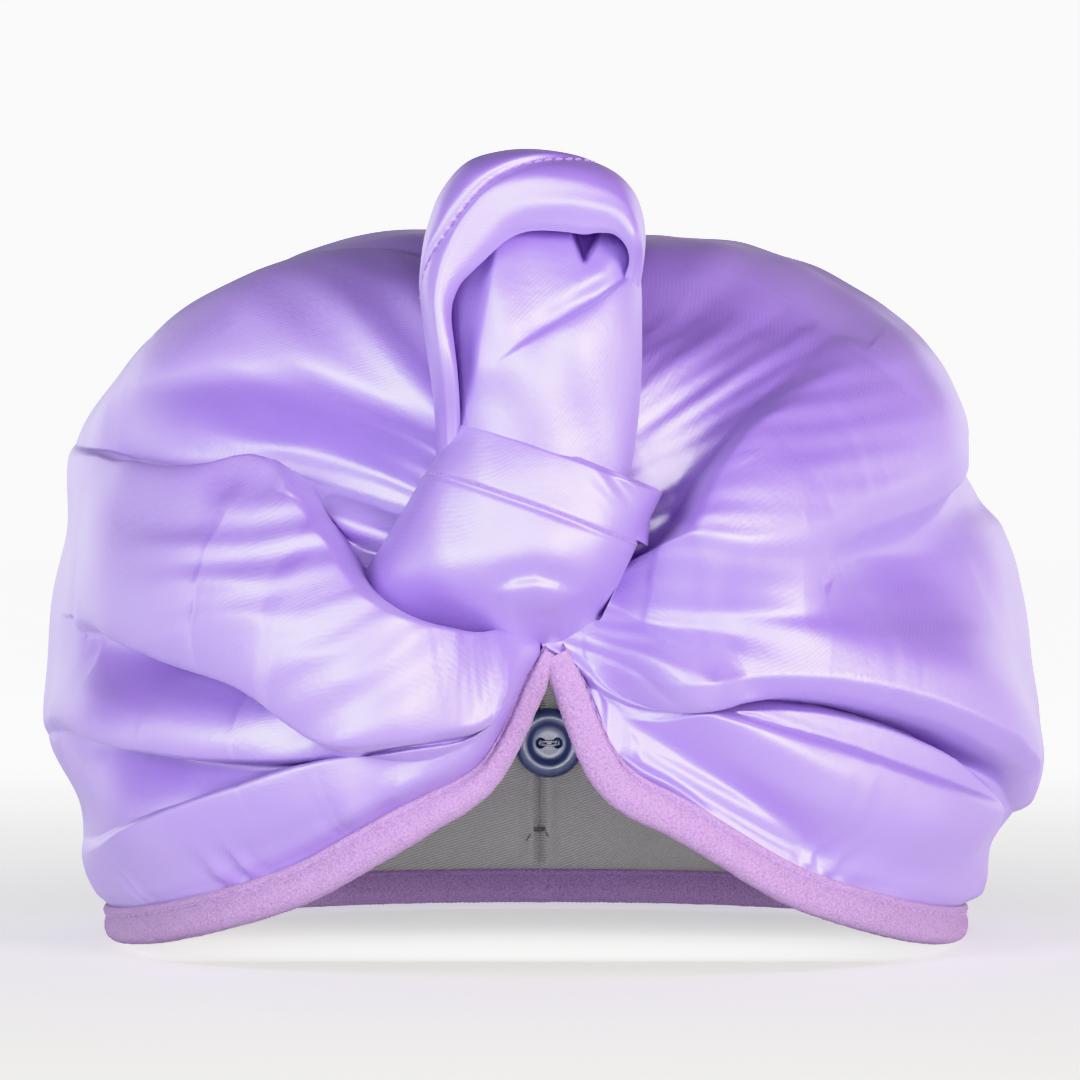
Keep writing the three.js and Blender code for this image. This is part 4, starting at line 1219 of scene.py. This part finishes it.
def make_cuff(material):
    count = int(150 * fineness)
    front = loop_curve(cuff_rows, count)
    behind = front[::-1][1:-1].copy()
    behind[:, 4] *= -0.75
    ring = np.concatenate([front, behind])
    rise = np.linspace(0, 1, int(130 * fineness))[None, :]
    bottom = ring[:, None, 0:2]
    top = ring[:, None, 2:4]
    height = np.linalg.norm(top - bottom, axis=-1)
    place = mix(bottom, top, rise[..., None])
    fore = ring[:, None, 4]
    swell = np.sin(np.pi * clip01(rise * 0.96 + 0.02)) ** 0.5
    depth = cuff_depth * mix(0.8, 1.0, swell)
    y = cuff_middle - fore * depth
    x = place[..., 0]
    z = place[..., 1]
    facing = smooth(fore, 0.02, 0.3)
    from_top = (1 - rise) * height
    dent, dent_at = line_distance(x, z, cuff_dent)
    relief = -2.0 * np.where(dent > 0, bell(dent, 2.2), bell(dent, 1.4)) + 2.0 * bell(dent + 4.0, 3.2)
    relief = relief * smooth(dent_at, 0, 0.25) * (1 - smooth(dent_at, 0.75, 1))
    relief = relief + 0.9 * (1 - smooth(from_top, cuff_hem - 0.5, cuff_hem + 0.5))
    relief = relief - 0.6 * bell(from_top - cuff_hem - 0.6, 0.6)
    crumple = bell(x - 18.5, 4) * bell(z - 114, 5)
    relief = relief + 1.1 * crumple * np.sin(0.95 * x + 0.75 * z)
    relief = relief + 0.45 * slow_waves(x, z, 7, 34, 12, 61)
    relief = relief - 27 * (1 - smooth(z, 66, 98)) ** 1.3
    relief = relief - 1.2 * smooth(from_top, 1.2, 0)
    y = y - relief * facing
    points = np.stack([x, y + knot_face, z], -1)
    inner = points[:, -1:, :].copy()
    lip = []
    centre = np.array([4.0, cuff_middle + knot_face, 116.0])
    for inward, drop in ((0.03, 0.2), (0.08, -1.0), (0.12, -5.0), (0.14, -12.0)):
        ring_points = mix(inner, centre, inward)
        ring_points[..., 2] = inner[..., 2] + drop
        lip.append(ring_points)
    points = np.concatenate([points, *lip], axis=1)
    obj = ring_mesh("tail_cuff_folds", points)
    on_hem = np.argmin(np.abs(from_top - cuff_hem)[0 : count], axis=1)
    line = np.array([points[i, on_hem[i]] for i in range(2, count - 2)])
    stitches = dashed(line - np.array([0, 0.2, 0]), (0, -1.0, 0.2))
    return finish_piece(obj, material, "satin", "tail_cuff"), stitches


# The button

def make_button(material):
    """A dished round button with a raised rim and two holes, in place of the plain solid."""
    low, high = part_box("button")
    centre = np.array([(low[k] + high[k]) / 2 for k in range(3)]) / MM
    radius = (high[0] - low[0]) / 2 / MM
    hole = 1.15
    spacing = 4.2
    profile = [
        (0.0, 0.35), (0.2, 0.35), (0.4, 0.35), (0.5, 0.5), (0.56, 0.95), (0.62, 1.45), (0.7, 1.62),
        (0.8, 1.6), (0.9, 1.35), (0.97, 0.7), (1.0, 0.0), (0.97, -0.6), (0.86, -1.2), (0.6, -1.5),
        (0.0, -1.5),
    ]
    profile = loop_curve(profile, 90)
    turns = turn_angles(128)
    rings = []
    for share, height in profile:
        r = max(share, 0.0) * radius
        rings.append(np.stack([r * np.cos(turns), np.full_like(turns, -height), r * np.sin(turns)], -1))
    points = np.array(rings)
    distance = np.minimum(
        np.hypot(points[..., 0] - spacing / 2, points[..., 2]),
        np.hypot(points[..., 0] + spacing / 2, points[..., 2]),
    )
    on_face = points[..., 1] < 0.2
    sink = 1.7 * (1 - smooth(distance, hole - 0.2, hole + 0.15)) * on_face
    points[..., 1] += sink
    points = points + centre
    obj = ring_mesh("dished_button", np.swapaxes(points, 0, 1))
    return finish_piece(obj, material, "button", "button"), centre, spacing


def tube_points(path, radius, sides=8):
    """Rings of points along a path."""
    path = np.asarray(path, float)
    along = unit(np.gradient(path, axis=0))
    normal = unit(np.cross(along, np.array([0.31, 0.2, 0.93])))
    other = np.cross(along, normal)
    angles = turn_angles(sides)
    size = radius * np.ones(len(path))
    size[[0, -1]] = radius * 0.2
    return path[None] + size[None, :, None] * (
        np.cos(angles)[:, None, None] * normal[None] + np.sin(angles)[:, None, None] * other[None]
    )


def make_thread(material, centre, spacing):
    half = spacing / 2
    strands = []
    for name, lift, shift in (("thread_loop", 0.0, -0.35), ("thread_loop_second", 0.25, 0.3)):
        path = [
            (-half - 0.1, 1.2, shift),
            (-half, -0.2, shift),
            (-half * 0.8, -1.0 - lift, shift * 1.3),
            (0, -1.35 - lift, shift * 1.6),
            (half * 0.8, -1.0 - lift, shift * 1.3),
            (half, -0.2, shift),
            (half + 0.1, 1.2, shift),
        ]
        strands.append(ring_mesh(name, tube_points(loop_curve(path, 26) + centre, 0.26)))
    finish_piece(strands[1], material, "thread")
    return finish_piece(strands[0], material, "thread", "button_thread")


def make_bar_tack(material):
    """A short bar of stitches across the lining's seam near the nape, with two loose thread ends."""
    height = 19.6
    y = float(lining_surface(RIGHT, np.array([[1.0]]), np.array([[0.1]]), 0.9)[0, 0, 1]) - 1.5
    toward = np.array([0, -1.0, 0])
    stitches = []
    for z in (height, height + 0.4, height + 0.8):
        stitches.append((np.array([-2.2, y, z]), np.array([1.6, y, z + 0.2]), toward))
    stitches.append((np.array([-2.0, y - 0.2, height]), np.array([-3.6, y - 0.6, height - 2.6]), toward))
    stitches.append((np.array([1.4, y - 0.2, height]), np.array([2.4, y - 0.5, height - 1.8]), toward))
    return finish_piece(stitch_mesh("bar_tack", stitches), material, "lining")


# The studio

def make_camera():
    data = bpy.data.cameras.new("camera")
    data.sensor_width = sensor_width
    data.lens = sensor_width * camera_distance / frame_width
    data.clip_start = 0.05
    data.clip_end = 50
    camera = placed("camera", data)
    back = Vector((0, -math.cos(camera_rise), math.sin(camera_rise)))
    camera.location = (camera_aim + back * camera_distance) * MM
    camera.rotation_mode = "QUATERNION"
    camera.rotation_quaternion = (-back).to_track_quat("-Z", "Y")
    bpy.context.scene.camera = camera


# The lamps: name, place, width and height, power in watts, the point it faces, and its tint
hood_middle = (0, 0, 90)
white = (1, 1, 1)
lamps = [
    ("key", (-60, -1480, 430), (700, 360), 5.8, hood_middle, (1.0, 1.0, 0.88)),
    ("front", (0, -1300, 70), (300, 160), 4, (0, 100, 20), white),
    ("inside", (0, -64, 46), (150, 30), 0.11, (0, 100, 22), white),
    ("left", (-860, -1230, 340), (620, 400), 22, hood_middle, (0.97, 1.0, 0.9)),
    ("right", (860, -1250, 230), (680, 420), 34, hood_middle, (1.0, 0.93, 0.85)),
    ("back_left", (-1100, 1400, 420), (1100, 700), 10, hood_middle, white),
    ("back_right", (1100, 1400, 420), (1100, 700), 10, hood_middle, white),
]


def area_light(name, place, size, power, aim, tint):
    data = bpy.data.lights.new(name, "AREA")
    data.shape = "RECTANGLE"
    data.size = size[0] * MM
    data.size_y = size[1] * MM
    data.energy = power
    data.color = tint
    light = placed(name, data)
    light.location = Vector(place) * MM
    way = Vector(aim) - Vector(place)
    light.rotation_mode = "QUATERNION"
    light.rotation_quaternion = way.to_track_quat("-Z", "Y")
    light.visible_camera = False


def grey_ramp(tree, factor, stops):
    return ramp(tree, factor, [(position, (grey,) * 3) for position, grey in stops])


def make_floor():
    """A pale floor that glows, brighter with the distance so that it runs into the backdrop, and dimmer
    near the object as a painted shadow round it.
    """
    material, tree, shader = blank_material("floor")
    shader.inputs["Base Color"].default_value = (0.72, 0.72, 0.725, 1)
    place = node(tree, "ShaderNodeTexCoord")
    shrunk = node(tree, "ShaderNodeMapping")
    shrunk.inputs["Scale"].default_value = (0.9, 0.9, 0.9)
    shrunk.inputs["Location"].default_value = (0, 0.2, 0)
    ball = node(tree, "ShaderNodeTexGradient", gradient_type="SPHERICAL")
    tree.links.new(place.outputs["Object"], shrunk.inputs["Vector"])
    tree.links.new(shrunk.outputs["Vector"], ball.inputs["Vector"])
    # Painted light: the floor glows though it is no lamp, most strongly far off, and its glow dims near
    # the object as a painted shadow under it
    painted_glow_and_shadow = grey_ramp(tree, ball.outputs["Fac"], [(0.0, 1.8), (0.15, 1.0), (0.35, 0.64), (0.85, 0.3)])
    tree.links.new(painted_glow_and_shadow, shader.inputs["Emission Color"])
    shader.inputs["Emission Strength"].default_value = 1.0
    shader.inputs["Roughness"].default_value = 0.9
    shader.inputs["Specular IOR Level"].default_value = 0.05
    mesh = bpy.data.meshes.new("floor")
    reach = 8.0
    corners = [(-reach, -reach, 0), (reach, -reach, 0), (reach, reach, 0), (-reach, reach, 0)]
    mesh.from_pydata(corners, [], [(0, 1, 2, 3)])
    mesh.materials.append(material)
    floor = placed("floor", mesh)
    floor.location = (0, 0, -0.4 * MM)


def make_world():
    """A soft sky that lights the object, and the near white that the camera sees behind it."""
    world = bpy.data.worlds.new("studio")
    world.use_nodes = True
    tree = world.node_tree
    background = tree.nodes["Background"]
    background.inputs["Strength"].default_value = 0.14
    backdrop = node(tree, "ShaderNodeBackground")
    way = node(tree, "ShaderNodeTexCoord")
    parts = node(tree, "ShaderNodeSeparateXYZ")
    tree.links.new(way.outputs["Generated"], parts.inputs[0])
    fade = grey_ramp(tree, parts.outputs["Z"], [(0.0, 0.96), (0.03, 0.98), (0.07, 1.0)])
    tree.links.new(fade, backdrop.inputs["Color"])
    sky_stops = [(0.0, (0.86, 0.86, 1.0)), (0.4, (0.8, 0.8, 0.96)), (0.9, (0.5, 0.5, 0.68))]
    sky = ramp(tree, parts.outputs["Z"], sky_stops)
    tree.links.new(sky, background.inputs["Color"])
    backdrop.inputs["Strength"].default_value = 1.9
    seen = node(tree, "ShaderNodeLightPath")
    either = node(tree, "ShaderNodeMixShader")
    tree.links.new(seen.outputs["Is Camera Ray"], either.inputs[0])
    tree.links.new(background.outputs[0], either.inputs[1])
    tree.links.new(backdrop.outputs[0], either.inputs[2])
    tree.links.new(either.outputs[0], tree.nodes["World Output"].inputs["Surface"])
    bpy.context.scene.world = world
    bpy.context.scene.view_settings.view_transform = "Khronos PBR Neutral"


make_camera()
make_floor()
make_world()
for lamp in lamps:
    area_light(*lamp)

satin = satin_material()
for side, name in ((LEFT, "satin_left"), (RIGHT, "satin_right")):
    half = make_satin(side, name)
    if side == LEFT:
        finish_piece(half, satin, "satin", "satin_hood")
    else:
        finish_piece(half, satin, "satin")
make_lining(lining_material())
make_binding(plush_material())
thread = thread_material("stitch_thread", (116, 86, 148), (150, 120, 182), 0.55, 0.3)
make_binding_stitches(thread)
make_roll(satin)
_, loop_stitches = make_loop(satin)
_, cuff_stitches = make_cuff(satin)
finish_piece(stitch_mesh("knot_stitches", loop_stitches + cuff_stitches), thread, "satin")
_, button_centre, hole_spacing = make_button(button_material())
make_thread(clear_thread_material(), button_centre, hole_spacing)
make_bar_tack(thread_material("grey_thread", (70, 66, 74), (112, 108, 116), 0.7, 0))
